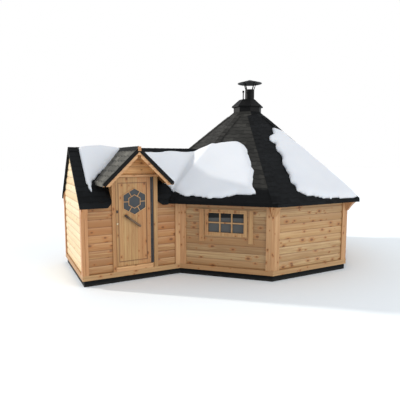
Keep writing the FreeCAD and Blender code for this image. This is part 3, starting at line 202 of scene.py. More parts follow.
    # joint between two boards, a groove of about 4 mm to each side
    edge = add(tree, "Math", [within, 0.5], operation="SUBTRACT")
    off_middle = add(tree, "Math", [edge.outputs[0]], operation="ABSOLUTE")
    gap = 4 * MM / board
    joint = add(tree, "MapRange", {0: off_middle.outputs[0], 1: 0.5 - gap, 2: 0.5, 3: 0.0, 4: sunk})
    dark_joint = add(tree, "Math", [joint.outputs[0], 0.6], operation="MULTIPLY")
    # painted shade under each board's curve and a painted highlight along its upper edge
    painted_underside_shade = add(tree, "MapRange", {0: within, 1: 0.0, 2: 0.3, 3: painted_board_shade, 4: 0.0},
                    interpolation_type="SMOOTHSTEP")
    shaded = blend(tree, painted_underside_shade.outputs[0], knotted.outputs[2], colour("#6b3f20"))
    painted_edge_highlight = add(tree, "MapRange", {0: within, 1: 0.72, 2: 0.93, 3: 0.0, 4: painted_board_shade * 0.6})
    lit = blend(tree, painted_edge_highlight.outputs[0], shaded.outputs[2], colour("#e0b88c"))
    jointed = blend(tree, dark_joint.outputs[0], lit.outputs[2], colour("#4a2a15"))
    tree.links.new(jointed.outputs[2], shader.inputs["Base Color"])
    rough = add(tree, "MapRange", {0: rings.outputs[0], 1: 0.0, 2: 1.0, 3: shine + 0.1, 4: shine - 0.06})
    tree.links.new(rough.outputs[0], shader.inputs["Roughness"])
    raised = add(tree, "Math", [rings.outputs[0], 0.4, fibre.outputs[0]], operation="MULTIPLY_ADD")
    lowered = add(tree, "Math", [joint.outputs[0], -3.0, raised.outputs[0]], operation="MULTIPLY_ADD")
    relief = add(tree, "Bump", {"Strength": 0.35, "Distance": 0.8 * MM, "Height": lowered.outputs[0]})
    tree.links.new(relief.outputs[0], shader.inputs["Normal"])
    return made


floor_pine = pine("sawn_pine_floor", ((1.0, 0.0, 0.0), (0.0, 1.0, 0.0)), 95 * MM, 0.0, "#cda878",
                  "#a5794a", shine=0.7)
dress(floor_pine, "cabin_floor", "porch_floor", "floor_bearers")


# Base boards and walls
# Planed pine boards with a rounded face, 140 mm high, stacked with tongue and groove and oiled.
# Each board is cut from another tree, so the tones run from straw to orange brown.

BASE_TOP = 205 * MM
BOARD = 140 * MM

wall_pine = pine("oiled_pine_wall_boards", LEVEL, BOARD, BASE_TOP, "#cfab76", "#96683c",
                 warm="#a86c38", tone=1.15, sunk=1.5, painted_board_shade=0.2, knots=1.35)
base_pine = pine("oiled_pine_base_board", LEVEL, 92 * MM, 113 * MM, "#c39d6b", "#97724a",
                 warm="#a07246", sunk=0.0)
dress(wall_pine, "porch_front_wall_left", "porch_front_wall_right", "porch_back_wall")
# The cabin's walls are of straw coloured boards; round the window they are darker, as painted shade
painted_shade_pine = pine("straw_pine_wall_boards_painted_shade", LEVEL, BOARD, BASE_TOP, "#caac7d", "#906d46",
                   warm="#9e7244", tone=1.0, sunk=1.5, painted_board_shade=0.15, knots=1.3)
dress(painted_shade_pine, "window_wall")
straw_pine = pine("straw_pine_wall_boards", LEVEL, BOARD, BASE_TOP, "#d9bd8c", "#a17d52",
                  warm="#b0824e", tone=1.0, sunk=1.5, painted_board_shade=0.15, knots=1.3)
dress(straw_pine, "front_wall", "front_right_wall", "right_wall", "back_right_wall", "back_wall",
      "back_left_wall")
dress(base_pine, "cabin_base_boards", "porch_base_boards")

# The gable end's boards are paler, as painted sunlight where the low sun falls on them
painted_sunlit_pine = pine("pine_gable_boards_painted_sunlit", LEVEL, BOARD, BASE_TOP, "#dccaa6", "#c9ad80",
                     warm="#c8a36e", knots=0.6, tone=0.4, painted_board_shade=0.25)
dress(painted_sunlit_pine, "porch_gable_wall")


# Posts and eave brackets
# Upright planed pine at the corners, with a bead along each edge, and flared brackets sawn
# from the same timber and screwed to the posts below the eaves.

# A planed piece is cut from one board, so its pattern has no joints within the piece
ONE_BOARD = (0.9, -9.3)
post_pine = pine("planed_pine_posts", UPRIGHT, *ONE_BOARD, "#caa273", "#a17145", knots=0.8,
                 tone=0.35, sunk=0.0)
dress(post_pine, "cabin_posts", "porch_posts", "eave_brackets")


# Roof
# Boards under bitumen shingles with stone granules, laid in courses of 125 mm whose tabs end
# in blunt points, so each course has a wavy edge. Below the eaves the bare boards show.

TAB = 200 * MM
COURSE = 125 * MM


def shingles(name, deep, pale, soffit_colours, shadow_below=0.0):
    """Bitumen shingles on upward faces and bare boards on the faces that look down.

    Below one height, in metres, the courses turn near black as a painted shadow.
    """
    made, tree, shader = finish_named(name)
    place = add(tree, "TexCoord").outputs["Object"]
    normal = add(tree, "NewGeometry").outputs["True Normal"]
    across = add(tree, "VectorMath", [(0.0, 0.0, 1.0), normal], operation="CROSS_PRODUCT")
    level = add(tree, "VectorMath", [across.outputs[0]], operation="NORMALIZE")
    upward = add(tree, "VectorMath", [normal, level.outputs[0]], operation="CROSS_PRODUCT")
    run = add(tree, "VectorMath", [place, level.outputs[0]], operation="DOT_PRODUCT").outputs["Value"]
    slope = add(tree, "VectorMath", [place, upward.outputs[0]], operation="DOT_PRODUCT").outputs["Value"]
    # every second course is shifted by half a tab, and each tab ends in a blunt point
    tab_place = add(tree, "Math", [run, TAB], operation="DIVIDE").outputs[0]
    rough_course = add(tree, "Math", [slope, COURSE], operation="DIVIDE").outputs[0]
    rough_number = add(tree, "Math", [rough_course], operation="FLOOR").outputs[0]
    shifted = add(tree, "Math", [rough_number, 0.5, tab_place], operation="MULTIPLY_ADD").outputs[0]
    in_tab = add(tree, "Math", [shifted, 0.5], operation="PINGPONG").outputs[0]
    pointed = add(tree, "Math", [in_tab, 60 * MM, slope], operation="MULTIPLY_ADD").outputs[0]
    wobble = add(tree, "TexNoise", {"Vector": place, "Scale": 5.0, "Detail": 2.0}).outputs[0]
    uneven = add(tree, "Math", [wobble, 24 * MM, pointed], operation="MULTIPLY_ADD").outputs[0]
    coursed = add(tree, "Math", [uneven, COURSE], operation="DIVIDE").outputs[0]
    number = add(tree, "Math", [coursed], operation="FLOOR").outputs[0]
    within = add(tree, "Math", [coursed], operation="FRACT").outputs[0]
    tab_number = add(tree, "Math", [shifted], operation="FLOOR").outputs[0]
    own = add(tree, "CombineXYZ", [number, tab_number, 0.5])
    chance = add(tree, "TexWhiteNoise", [own.outputs[0]], noise_dimensions="3D").outputs["Value"]
    # each course darkens towards its lower edge, a painted shade along the step of the tabs
    lip = add(tree, "MapRange", {0: within, 1: 0.0, 2: 0.2, 3: 1.0, 4: 0.0})
    granules = add(tree, "TexNoise", {"Vector": place, "Scale": 420.0, "Detail": 2.0}).outputs[0]
    patches = add(tree, "TexNoise", {"Vector": place, "Scale": 1.6, "Detail": 4.0}).outputs[0]
    mixed = add(tree, "Math", [granules, 0.5, chance], operation="MULTIPLY_ADD").outputs[0]
    tone = add(tree, "Math", [patches, 0.7, mixed], operation="MULTIPLY_ADD").outputs[0]
    tone_share = add(tree, "MapRange", {0: tone, 1: 0.2, 2: 1.9, 3: 0.0, 4: 1.0})
    felt = blend(tree, tone_share.outputs[0], colour(deep), colour(pale))
    # painted shadow: below a ragged height the felt turns near black
    height = add(tree, "SeparateXYZ", [place]).outputs["Z"]
    ragged = add(tree, "Math", [patches, 120 * MM, height], operation="MULTIPLY_ADD").outputs[0]
    shadow_share = add(tree, "MapRange",
              {0: ragged, 1: shadow_below, 2: shadow_below + 50 * MM, 3: 1.0, 4: 0.0}).outputs[0]
    shadowed_felt = blend(tree, shadow_share, felt.outputs[2], colour("#0d0e0f"))
    lip_share = add(tree, "Math", [lip.outputs[0], 0.95], operation="MULTIPLY")
    lipped = blend(tree, lip_share.outputs[0], shadowed_felt.outputs[2], colour("#070808"))
    facing = add(tree, "SeparateXYZ", [normal]).outputs["Z"]
    below = add(tree, "Math", [facing, -0.4], operation="LESS_THAN").outputs[0]
    sawn = add(tree, "Mapping", {"Vector": place, "Scale": (2.0, 2.0, 30.0)})
    plank = add(tree, "TexNoise", {"Vector": sawn.outputs[0], "Scale": 2.0, "Detail": 4.0}).outputs[0]
    soffit = blend(tree, plank, colour(soffit_colours[0]), colour(soffit_colours[1]))
    covered = blend(tree, below, lipped.outputs[2], soffit.outputs[2])
    tree.links.new(covered.outputs[2], shader.inputs["Base Color"])
    stepped = add(tree, "Math", [within, -5.0], operation="MULTIPLY").outputs[0]
    grainy = add(tree, "Math", [granules, 0.4, stepped], operation="MULTIPLY_ADD").outputs[0]
    relief = add(tree, "Bump", {"Strength": 1.0, "Distance": 3 * MM, "Height": grainy})
    tree.links.new(relief.outputs[0], shader.inputs["Normal"])
    shader.inputs["Roughness"].default_value = 0.8
    # the granules trap most of the sheen
    shader.inputs["Specular IOR Level"].default_value = 0.12
    return made


# deep and pale colour of the granules, near black as painted shade and grey as painted sunlight, and of
# the boards that show below the eaves
PAINTED_SHADE_FELT = ("#08090a", "#1a1c1e")
PAINTED_SUNLIT_FELT = ("#222220", "#403f3c")
BARE = ("#c79a66", "#a06a3c")
# the boards below the porch roofs and the cap plates are near black
DARK_UNDERSIDE = ("#121314", "#1c1c1c")
# the felt is painted near black below this height, as a painted shadow
PAINTED_SHADOW_LEVEL = 1.74

# Slopes in shade get near black granules, as painted shade
painted_shade_shingle = shingles("bitumen_shingles_painted_shade", *PAINTED_SHADE_FELT, BARE)
dress(painted_shade_shingle, "roof_panel_right", "roof_panel_back_right", "roof_panel_front",
      "roof_panel_front_right")
painted_shade_porch_shingle = shingles("bitumen_shingles_painted_shade_dark_below", *PAINTED_SHADE_FELT, DARK_UNDERSIDE)
dress(painted_shade_porch_shingle, "porch_roof_front", "porch_roof_back")
# The slopes that face the sun get paler grey granules, as painted sunlight
painted_sunlit_shingle = shingles("bitumen_shingles_painted_sunlit", *PAINTED_SUNLIT_FELT, BARE)
dress(painted_sunlit_shingle, "roof_panel_back", "roof_panel_back_left", "roof_panel_over_porch")
# On the slope over the window the courses below one height are near black, a painted shadow
painted_shadow_shingle = shingles("shingles_painted_sunlit_and_shadowed_at_the_eave", *PAINTED_SUNLIT_FELT, BARE, shadow_below=PAINTED_SHADOW_LEVEL)
dress(painted_shadow_shingle, "roof_panel_over_window")
# The dormer's left slope, which takes the sun most squarely, gets grey granules as painted sunlight and
# sheen
painted_sun_grey_shingle = shingles("bitumen_shingles_painted_bright_sun", "#3e3d39", "#6f6d66", BARE)
dress(painted_sun_grey_shingle, "dormer_roof_left")
dress(painted_shade_shingle, "dormer_roof_right")


# the roof's sizes, as in the solids: the eaves' distance from the middle, pitches and heights
EAVE = 2.456
PITCH = math.radians(40.9)
PORCH_PITCH = math.radians(44.5)
ROOF_AT_EAVE = 1.406 + 0.042 / math.cos(PITCH)
PORCH_RIDGE = 2.461
PORCH_END = 4.099
DOOR_X = -3.1
DORMER_FRONT = -1.20
DORMER_BACK = -0.12
CABIN_SIDE = -1.33
PLATE_LENGTH = 200 * MM
SPACING = 145 * MM
# the caps start this far in from the eaves, and end at the collar of the chimney
FOOT_GAP = 0.03
COLLAR_REACH = 0.36


def cap_plate(name, bend, wing, length, felt):
    """One bent cap plate along Y, with its crease at the origin and both wings bent down."""
    bpy.ops.mesh.primitive_grid_add(x_subdivisions=2, y_subdivisions=1, size=1)
    plate = bpy.context.object
    plate.name = name
    for corner in plate.data.vertices:
        side = round(corner.co.x * 2)
        corner.co = Vector((side * wing * math.cos(bend), corner.co.y * length,
                            -abs(side) * wing * math.sin(bend)))
    shape(plate, "SOLIDIFY", "felt_thickness", thickness=5 * MM, offset=1)
    shape(plate, "BEVEL", "worn_edges", width=1.5 * MM, segments=1)
    plate.data.materials.append(felt)
    return plate


def cap_run(pattern, name, low, high):
    """Lay copies of a cap plate from the low end of a ridge or hip to its high end, each over the last."""
    along = (high - low).normalized()
    sideways = along.cross(Vector((0, 0, 1))).normalized()
    up = sideways.cross(along)
    count = int((high - low).length / SPACING)
    laid = []
    for number in range(count):
        plate = pattern.copy()
        plate.data = pattern.data.copy()
        scene.collection.objects.link(plate)
        middle = low + along * SPACING * (number + 0.5) + up * 6 * MM
        tilt = Matrix.Rotation(-0.02, 4, "X")
        turned = Matrix((sideways, along, up)).transposed().to_4x4()
        plate.data.transform(Matrix.Translation(middle) @ turned @ tilt)
        laid.append(plate)
    run = joined(laid, name)
    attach(run, "hut")


def roof_level(x, y):
    """Height of the roof's upper face over a place in plan."""
    reach = max(x * math.cos(turn * math.pi / 4) + y * math.sin(turn * math.pi / 4) for turn in range(8))
    cabin = ROOF_AT_EAVE + (EAVE - reach) * math.tan(PITCH)
    porch = PORCH_RIDGE - abs(y) * math.tan(PORCH_PITCH) if x < -1 else -9
    return max(cabin, porch)


# Cap plates, 200 mm long and 95 to 100 mm wide to each side, cover the eight hips and both ridges
hip_bend = math.asin(math.sin(PITCH) * math.sin(math.pi / 8))
painted_sunlit_cap = shingles("cap_plates_painted_sunlit", *PAINTED_SUNLIT_FELT, DARK_UNDERSIDE)
painted_shadow_cap = shingles("cap_plates_painted_sunlit_and_shadowed_at_the_eave", *PAINTED_SUNLIT_FELT, DARK_UNDERSIDE, shadow_below=PAINTED_SHADOW_LEVEL)
hip_plate = cap_plate("hip_cap_pattern", hip_bend, 95 * MM, PLATE_LENGTH, painted_shade_porch_shingle)
painted_sunlit_plate = cap_plate("painted_sunlit_hip_cap_pattern", hip_bend, 95 * MM, PLATE_LENGTH, painted_sunlit_cap)
painted_shadow_plate = cap_plate("painted_shadow_hip_cap_pattern", hip_bend, 95 * MM, PLATE_LENGTH, painted_shadow_cap)
# The hips between two sunlit slopes get the painted sunlit felt, and the one over the snow's foot also the
# painted shadow at its lower end
hip_patterns = {2: painted_sunlit_plate, 3: painted_sunlit_plate, 4: painted_shadow_plate}
for corner in range(8):
    angle = (corner + 0.5) * math.pi / 4
    outward = Vector((math.cos(angle), math.sin(angle), 0)) / math.cos(math.pi / 8)
    foot = outward * (EAVE - FOOT_GAP)
    head = outward * COLLAR_REACH
    foot.z = ROOF_AT_EAVE + FOOT_GAP * math.tan(PITCH)
    head.z = ROOF_AT_EAVE + (EAVE - COLLAR_REACH) * math.tan(PITCH)
    cap_run(hip_patterns.get(corner, hip_plate), f"hip_caps_{corner}", foot, head)
ridge_plate = cap_plate("ridge_cap_pattern", PORCH_PITCH, 100 * MM, PLATE_LENGTH, painted_shade_porch_shingle)
cap_run(ridge_plate, "porch_ridge_caps", Vector((-PORCH_END + FOOT_GAP, 0, PORCH_RIDGE)),
        Vector((CABIN_SIDE, 0, PORCH_RIDGE)))
cap_run(ridge_plate, "dormer_ridge_caps", Vector((DOOR_X, DORMER_FRONT, PORCH_RIDGE)),
        Vector((DOOR_X, DORMER_BACK, PORCH_RIDGE)))
for pattern in (hip_plate, painted_sunlit_plate, painted_shadow_plate, ridge_plate):
    bpy.data.objects.remove(pattern)


# Dormer
# Boards like those of the walls close the small gable, with planed barge boards in front and
# the end of a ridge beam between them.

HEADER_TOP = 1.961
# the dormer boards are paler than the walls', painting light into the shade under the overhang
painted_light_dormer_pine = pine("oiled_pine_dormer_boards_painted_light", LEVEL, BOARD, HEADER_TOP, "#efbe80", "#c08448",
                   tone=0.6, painted_board_shade=0.3, knots=1.3)
dress(painted_light_dormer_pine, "dormer_boards")
cheek_pine = pine("oiled_pine_dormer_cheeks", LEVEL, BOARD, HEADER_TOP, "#cfa571", "#b58150",
                  tone=0.4, painted_board_shade=0.2)
dress(cheek_pine, "dormer_cheeks")
barge_left = pine("planed_pine_trim", ((1.0, 0.0, 0.0), (0.0, 0.0, 1.0)), *ONE_BOARD, "#cfa472",
                  "#a9744a", knots=0.7, tone=0.3, sunk=0.0)
dress(barge_left, "dormer_barge_boards", "dormer_ridge_beam", "door_header", "door_threshold",
      "door_sill_board")


# Door
# A ledged leaf of pine boards in a planed frame, with a six-sided pane of six small lights
# round a middle one. A stick serves as the handle, and a long hinge runs up the right edge.

casing_pine = pine("planed_pine_casing", UPRIGHT, *ONE_BOARD, "#b89462", "#94673a", knots=0.9,
                   tone=0.3, sunk=0.0)
dress(casing_pine, "door_jambs")
LEAF_BOARD = 88 * MM
LEAF_START = -3.324
# middle and half size of the leaf's sunk field, which takes in every depth
FIELD_MIDDLE = (-3.146, 0.0, 1.099)
FIELD_HALF = (0.265, 9.0, 0.718)
leaf_pine = pine("planed_pine_door_boards", UPRIGHT, LEAF_BOARD, LEAF_START, "#c09e69", "#9c7042",
                 tone=0.5, sunk=0.7, knots=1.2)
# Painted shade, with oil and dust, darkens the corner where the boards meet the frame of the leaf
tree = leaf_pine.node_tree
shader = tree.nodes["Principled BSDF"]
bare_wood = shader.inputs["Base Color"].links[0].from_socket
place = add(tree, "TexCoord").outputs["Object"]
from_middle = add(tree, "VectorMath", [place, FIELD_MIDDLE], operation="SUBTRACT").outputs[0]
off_axes = add(tree, "VectorMath", [from_middle], operation="ABSOLUTE").outputs[0]
past_edge = add(tree, "VectorMath", [off_axes, FIELD_HALF], operation="SUBTRACT").outputs[0]
sides = add(tree, "SeparateXYZ", [past_edge])
farthest = add(tree, "Math", [sides.outputs["X"], sides.outputs["Z"]], operation="MAXIMUM").outputs[0]
off_edge = add(tree, "Math", [farthest], operation="ABSOLUTE").outputs[0]
painted_shade_and_grime = add(tree, "MapRange", {0: off_edge, 1: 3 * MM, 2: 14 * MM, 3: 0.7, 4: 0.0}).outputs[0]
shaded_and_grimed = blend(tree, painted_shade_and_grime, bare_wood, colour("#5d3a1e"))
tree.links.new(shaded_and_grimed.outputs[2], shader.inputs["Base Color"])
dress(leaf_pine, "door_leaf")
pale_pine = pine("planed_pine_glazing_bars", UPRIGHT, *ONE_BOARD, "#cba774", "#ab7e4e", knots=0.3,
                 tone=0.2, sunk=0.0)
dress(pale_pine, "door_pane_bars")

# Stick: peeled juniper, dried grey, with darker bark left at one end
stick_wood, tree, shader = finish_named("dried_juniper_stick")
place = add(tree, "TexCoord").outputs["Object"]
turned = add(tree, "Mapping",
             {"Vector": place, "Rotation": (0.0, math.radians(36), 0.0), "Scale": (6.0, 60.0, 60.0)})
fibres = add(tree, "TexNoise", {"Vector": turned.outputs[0], "Scale": 2.0, "Detail": 6.0}).outputs[0]
bare = blend(tree, fibres, colour("#7c654d"), colour("#4e3c2d"))
far_end = add(tree, "SeparateXYZ", [place]).outputs["X"]
bark_share = add(tree, "MapRange", {0: far_end, 1: -3.27, 2: -3.19, 3: 0.9, 4: 0.0})
barked = blend(tree, bark_share.outputs[0], bare.outputs[2], colour("#2b211a"))
tree.links.new(barked.outputs[2], shader.inputs["Base Color"])
relief = add(tree, "Bump", {"Strength": 0.6, "Distance": 2 * MM, "Height": fibres})
tree.links.new(relief.outputs[0], shader.inputs["Normal"])
shader.inputs["Roughness"].default_value = 0.7

# The branch is drawn out of a disc step by step: thick and knobbly at the barked end, thin at the other
STICK_START = Vector((-3.312, -0.999, 1.242))
STICK_END = Vector((-3.004, -0.999, 1.010))
SWELLS = (1.12, 1.03, 0.97, 0.95, 1.02, 0.96, 1.0, 0.97, 1.04, 0.96, 1.0, 0.94)
STICK_STEP = (STICK_END - STICK_START).length / len(SWELLS)
STUD_DEPTH = -0.975
bpy.ops.mesh.primitive_circle_add(vertices=16, radius=20 * MM, fill_type="NGON")
stick = bpy.context.object
bpy.ops.object.mode_set(mode="EDIT")
bpy.ops.mesh.select_all(action="SELECT")
bpy.ops.mesh.extrude_region_move(TRANSFORM_OT_translate={"value": (0, 0, 0)})
for swell in SWELLS:
    bpy.ops.mesh.extrude_region_move(TRANSFORM_OT_translate={"value": (0, 0, STICK_STEP)})
    bpy.ops.transform.resize(value=(swell, swell, 1))
bpy.ops.mesh.select_all(action="SELECT")
bpy.ops.mesh.remove_doubles(threshold=0.1 * MM)
bpy.ops.mesh.normals_make_consistent(inside=False)
bpy.ops.object.mode_set(mode="OBJECT")
stick.data.transform(Matrix.Translation(STICK_START) @
                     (STICK_END - STICK_START).to_track_quat("Z", "Y").to_matrix().to_4x4())
shape(stick, "SUBSURF", "worn_smooth", levels=1, render_levels=1)
bpy.ops.object.shade_smooth()

# Two turned studs hold it off the leaf
studs = []
for share in (0.2, 0.8):
    seat = STICK_START.lerp(STICK_END, share)
    bpy.ops.mesh.primitive_cylinder_add(vertices=16, radius=7 * MM, depth=36 * MM,
                                        rotation=(math.pi / 2, 0, 0),
                                        location=(seat.x, STUD_DEPTH, seat.z))
    bpy.ops.object.transform_apply(location=True, rotation=True, scale=True)
    bpy.ops.object.shade_smooth_by_angle(angle=math.radians(40))
    studs.append(bpy.context.object)
stick = joined([stick] + studs, "stick_handle")
stick.data.materials.append(stick_wood)
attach(stick, "door")
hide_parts("door_handle")

# Painted iron: the catch is dark brown and the lock plate below it cream
LOCK_TOP = 1.2
dark_iron, tree, shader = finish_named("dark_painted_iron")
place = add(tree, "TexCoord").outputs["Object"]
specks = add(tree, "TexNoise", {"Vector": place, "Scale": 260.0, "Detail": 2.0}).outputs[0]
paint = blend(tree, specks, colour("#211a16"), colour("#3b2e27"))
height = add(tree, "SeparateXYZ", [place]).outputs["Z"]
lower = add(tree, "Math", [height, LOCK_TOP], operation="LESS_THAN").outputs[0]
fitting = blend(tree, lower, paint.outputs[2], colour("#cdbd9b"))
tree.links.new(fitting.outputs[2], shader.inputs["Base Color"])
shader.inputs["Roughness"].default_value = 0.5
dress(dark_iron, "door_catch_and_lock")

# Grey lacquered steel: the long hinge
hinge_steel, tree, shader = finish_named("grey_lacquered_steel")
place = add(tree, "TexCoord").outputs["Object"]
specks = add(tree, "TexNoise", {"Vector": place, "Scale": 180.0, "Detail": 2.0}).outputs[0]
lacquer = blend(tree, specks, colour("#242628"), colour("#303335"))
tree.links.new(lacquer.outputs[2], shader.inputs["Base Color"])
shader.inputs["Roughness"].default_value = 0.42
shader.inputs["Metallic"].default_value = 0.3
dress(hinge_steel, "hinge_on_leaf", "hinge_on_jamb")

# Screws hold the leaf's half of the hinge
screws = []
SCREW_X = -2.797
SCREW_Y = -0.9745
SCREW_HEIGHTS = range(360, 1880, 150)
for height in SCREW_HEIGHTS:
    bpy.ops.mesh.primitive_cylinder_add(vertices=12, radius=4 * MM, depth=3 * MM,
                                        rotation=(math.pi / 2, 0, 0),
                                        location=(SCREW_X, SCREW_Y, height * MM))
    screw = bpy.context.object
    bpy.ops.object.transform_apply(location=True, rotation=True, scale=True)
    shape(screw, "BEVEL", "rounded_head", width=1 * MM, segments=2)
    screws.append(screw)
joined(screws, "hinge_screws")
screws[0].data.materials.append(hinge_steel)
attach(screws[0], "door")


# Float glass with a dim room painted into its colour: grey as painted light from the room's far side,
# and black above one height as painted shade
WINDOW_LEFT = -2.05
WINDOW_RIGHT = -1.5


def painted_room_glass(name, head_left, head_right, room_colours):
    """Glass with a painted dim room, and painted shade above one height at its left end and another at its
    right.
    """
    made, tree, shader = finish_named(name)
    place = add(tree, "TexCoord").outputs["Object"]
    parts = add(tree, "SeparateXYZ", [place])
    cloud = add(tree, "TexNoise", {"Vector": place, "Scale": 3.0, "Detail": 2.0}).outputs[0]
    room = blend(tree, cloud, colour(room_colours[0]), colour(room_colours[1]))
    head = add(tree, "MapRange", {0: parts.outputs["X"], 1: WINDOW_LEFT, 2: WINDOW_RIGHT,
                                  3: head_left, 4: head_right})
    over = add(tree, "Math", [parts.outputs["Z"], head.outputs[0]], operation="SUBTRACT").outputs[0]
    dark = add(tree, "MapRange", {0: over, 1: -4 * MM, 2: 4 * MM, 3: 0.0, 4: 1.0},
               interpolation_type="SMOOTHSTEP")
    seen = blend(tree, dark.outputs[0], room.outputs[2], colour("#0b0b0b"))
    tree.links.new(seen.outputs[2], shader.inputs["Base Color"])
    shader.inputs["Roughness"].default_value = 0.05
    shader.inputs["IOR"].default_value = 1.52
    shader.inputs["Specular IOR Level"].default_value = 0.15
    return made


dress(painted_room_glass("window_glass_painted_room_and_shade", 1.118, 1.150, ("#4a4a49", "#575756")), "window_glass")
door_pane = painted_room_glass("door_glass_painted_room", 3.0, 3.0, ("#3f4245", "#4a4d50"))
dress(door_pane, "door_glass")

# Thin planed bars on one large six-sided glass: a rim, an inner hexagon and six short bars between
FIELD_FACE = -0.956
PANE = Vector((-3.112, 0.0, 1.475))
PANE_REACH = 0.248
INNER_REACH = 0.130
BAR = 12 * MM
FLAT = math.cos(math.pi / 6)


def hexagon_plate(name, reach, back, thick, finish, ring=0.0):
    """A six-sided plate with a corner at the top, or a ring of one width, standing in the door."""
    bpy.ops.mesh.primitive_circle_add(vertices=6, radius=reach, fill_type="NGON")
    plate = bpy.context.object
    plate.name = name
    bpy.ops.object.mode_set(mode="EDIT")
    bpy.ops.mesh.select_all(action="SELECT")
    if ring:
        bpy.ops.mesh.inset(thickness=ring)
        bpy.ops.mesh.delete(type="FACE")
        bpy.ops.mesh.select_all(action="SELECT")
    bpy.ops.mesh.extrude_region_move(TRANSFORM_OT_translate={"value": (0, 0, thick)})
    bpy.ops.mesh.select_all(action="SELECT")
    bpy.ops.mesh.normals_make_consistent(inside=False)
    bpy.ops.object.mode_set(mode="OBJECT")
    standing = Matrix.Rotation(math.pi / 2, 4, "X")
    plate.data.transform(Matrix.Translation((PANE.x, back, PANE.z)) @ standing)
    plate.data.materials.append(finish)
    return plate


pane_pieces = [
    hexagon_plate("pane_rim", PANE_REACH, FIELD_FACE, 14 * MM, pale_pine, ring=BAR * 0.8),
    hexagon_plate("pane_sheet", PANE_REACH - 2 * MM, FIELD_FACE, 4 * MM, door_pane),
    hexagon_plate("pane_hexagon", INNER_REACH, FIELD_FACE - 4 * MM, 8 * MM, pale_pine, ring=BAR * 0.9),
]
near = INNER_REACH * FLAT - 2 * MM
far = PANE_REACH * FLAT - 8 * MM
for turn in range(6):
    bpy.ops.mesh.primitive_cube_add(size=1, scale=(far - near, 8 * MM, BAR))
    spoke = bpy.context.object
    bpy.ops.object.transform_apply(scale=True)
    shape(spoke, "BEVEL", "eased_edges", width=1.5 * MM)
    spoke.data.transform(Matrix.Translation(((near + far) / 2, 0, 0)))
    spoke.data.transform(Matrix.Rotation(turn * math.pi / 3, 4, "Y"))
    spoke.data.transform(Matrix.Translation((PANE.x, FIELD_FACE - 8 * MM, PANE.z)))
    spoke.data.materials.append(pale_pine)
    pane_pieces.append(spoke)
pane = joined(pane_pieces, "door_pane_thin_bars")
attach(pane, "door")
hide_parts("door_pane_bars")


# Window
# Six panes in a planed pine frame let into the wall, with a raised inner rim, thin bars and a
# beaded board at each side. It doesn't open.

window_pine = pine("planed_pine_window", UPRIGHT, *ONE_BOARD, "#c09a68", "#946539", knots=0.9,
                   tone=0.3, sunk=0.0)
dress(window_pine, "window_frame", "window_side_boards")


# Chimney
# Sheet steel in black heat paint: a collar on the roof, a hipped hat, the pipe, a rain cap on
# four flat stays and the rod of the damper.

heat_paint, tree, shader = finish_named("black_heat_paint")
place = add(tree, "TexCoord").outputs["Object"]
specks = add(tree, "TexNoise", {"Vector": place, "Scale": 30.0, "Detail": 4.0}).outputs[0]
soot = blend(tree, specks, colour("#040404"), colour("#0a0a0a"))
tree.links.new(soot.outputs[2], shader.inputs["Base Color"])
shader.inputs["Roughness"].default_value = 0.55
shader.inputs["Specular IOR Level"].default_value = 0.15
dress(heat_paint, "collar_box", "collar_hat", "chimney_pipe", "chimney_cap", "cap_stays", "damper_rod")

# Four flat stays of the same sheet rise from the pipe and lean out to the rain cap
CHIMNEY_X = 58 * MM
# distance from the middle of the pipe and height of a stay's foot, bend and head
STAY_PROFILE = [(0.109, 3.785), (0.109, 3.850), (0.180, 4.026)]
stays = []
for turn in range(4):
    bpy.ops.mesh.primitive_plane_add(size=1)
    stay = bpy.context.object
    bpy.ops.object.mode_set(mode="EDIT")
    bpy.ops.mesh.subdivide(number_cuts=1)
    bpy.ops.object.mode_set(mode="OBJECT")
    for corner in stay.data.vertices:
        reach, level = STAY_PROFILE[round(corner.co.x * 2) + 1]
        corner.co = Vector((reach, corner.co.y * 30 * MM, level))
    shape(stay, "SOLIDIFY", "sheet_thickness", thickness=4 * MM, offset=0)
    stay.data.transform(Matrix.Rotation(turn * math.pi / 2, 4, "Z"))
    stay.data.transform(Matrix.Translation((CHIMNEY_X, 0, 0)))
    stays.append(stay)
joined(stays, "rain_cap_stays")
stays[0].data.materials.append(heat_paint)
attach(stays[0], "hut")
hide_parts("cap_stays")

# Folded strips of the same sheet cover the front edge of the dormer roof
VERGE_FRONT = -1.258
DORMER_REACH = 0.650
STRIP = 64 * MM
strips = []
for side in (-1, 1):
    length = DORMER_REACH / math.cos(PORCH_PITCH) + 4 * MM
    bpy.ops.mesh.primitive_cube_add(size=1, scale=(length, 8 * MM, STRIP))
    strip = bpy.context.object
    bpy.ops.object.transform_apply(scale=True)
    shape(strip, "BEVEL", "folded_edge", width=2 * MM, segments=2)
    lean = Matrix.Rotation(side * PORCH_PITCH, 4, "Y")
    strip.data.transform(Matrix.Translation((side * length / 2, 0, -STRIP / 2)))
    strip.data.transform(Matrix.Translation((DOOR_X, VERGE_FRONT - 4 * MM, PORCH_RIDGE)) @ lean)
    strips.append(strip)
verge = joined(strips, "dormer_verge_strips")
verge.data.materials.append(heat_paint)
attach(verge, "hut")

# A short pine block closes the joint of the two strips at the peak
bpy.ops.mesh.primitive_cube_add(size=1, scale=(58 * MM, 14 * MM, 80 * MM))
block = bpy.context.object
block.name = "dormer_peak_block"
bpy.ops.object.transform_apply(scale=True)
shape(block, "BEVEL", "eased_edges", width=4 * MM, segments=2)
block.data.transform(Matrix.Translation((DOOR_X, VERGE_FRONT - 15 * MM, PORCH_RIDGE - 38 * MM)))
block.data.materials.append(barge_left)
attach(block, "hut")
bpy.ops.object.select_all(action="DESELECT")


# Snow
# Old snow up to 90 mm deep lies in three patches on the front slopes, smooth on top, with a
# thick rounded lip where it has slid and melted back.

# the snow reaches this far past its outline, its rounded lip is this wide, and its underside
# lies this far inside the roof
SNOW_MARGIN = 0.012
LIP_WIDTH = 0.13
BURIED = 0.018


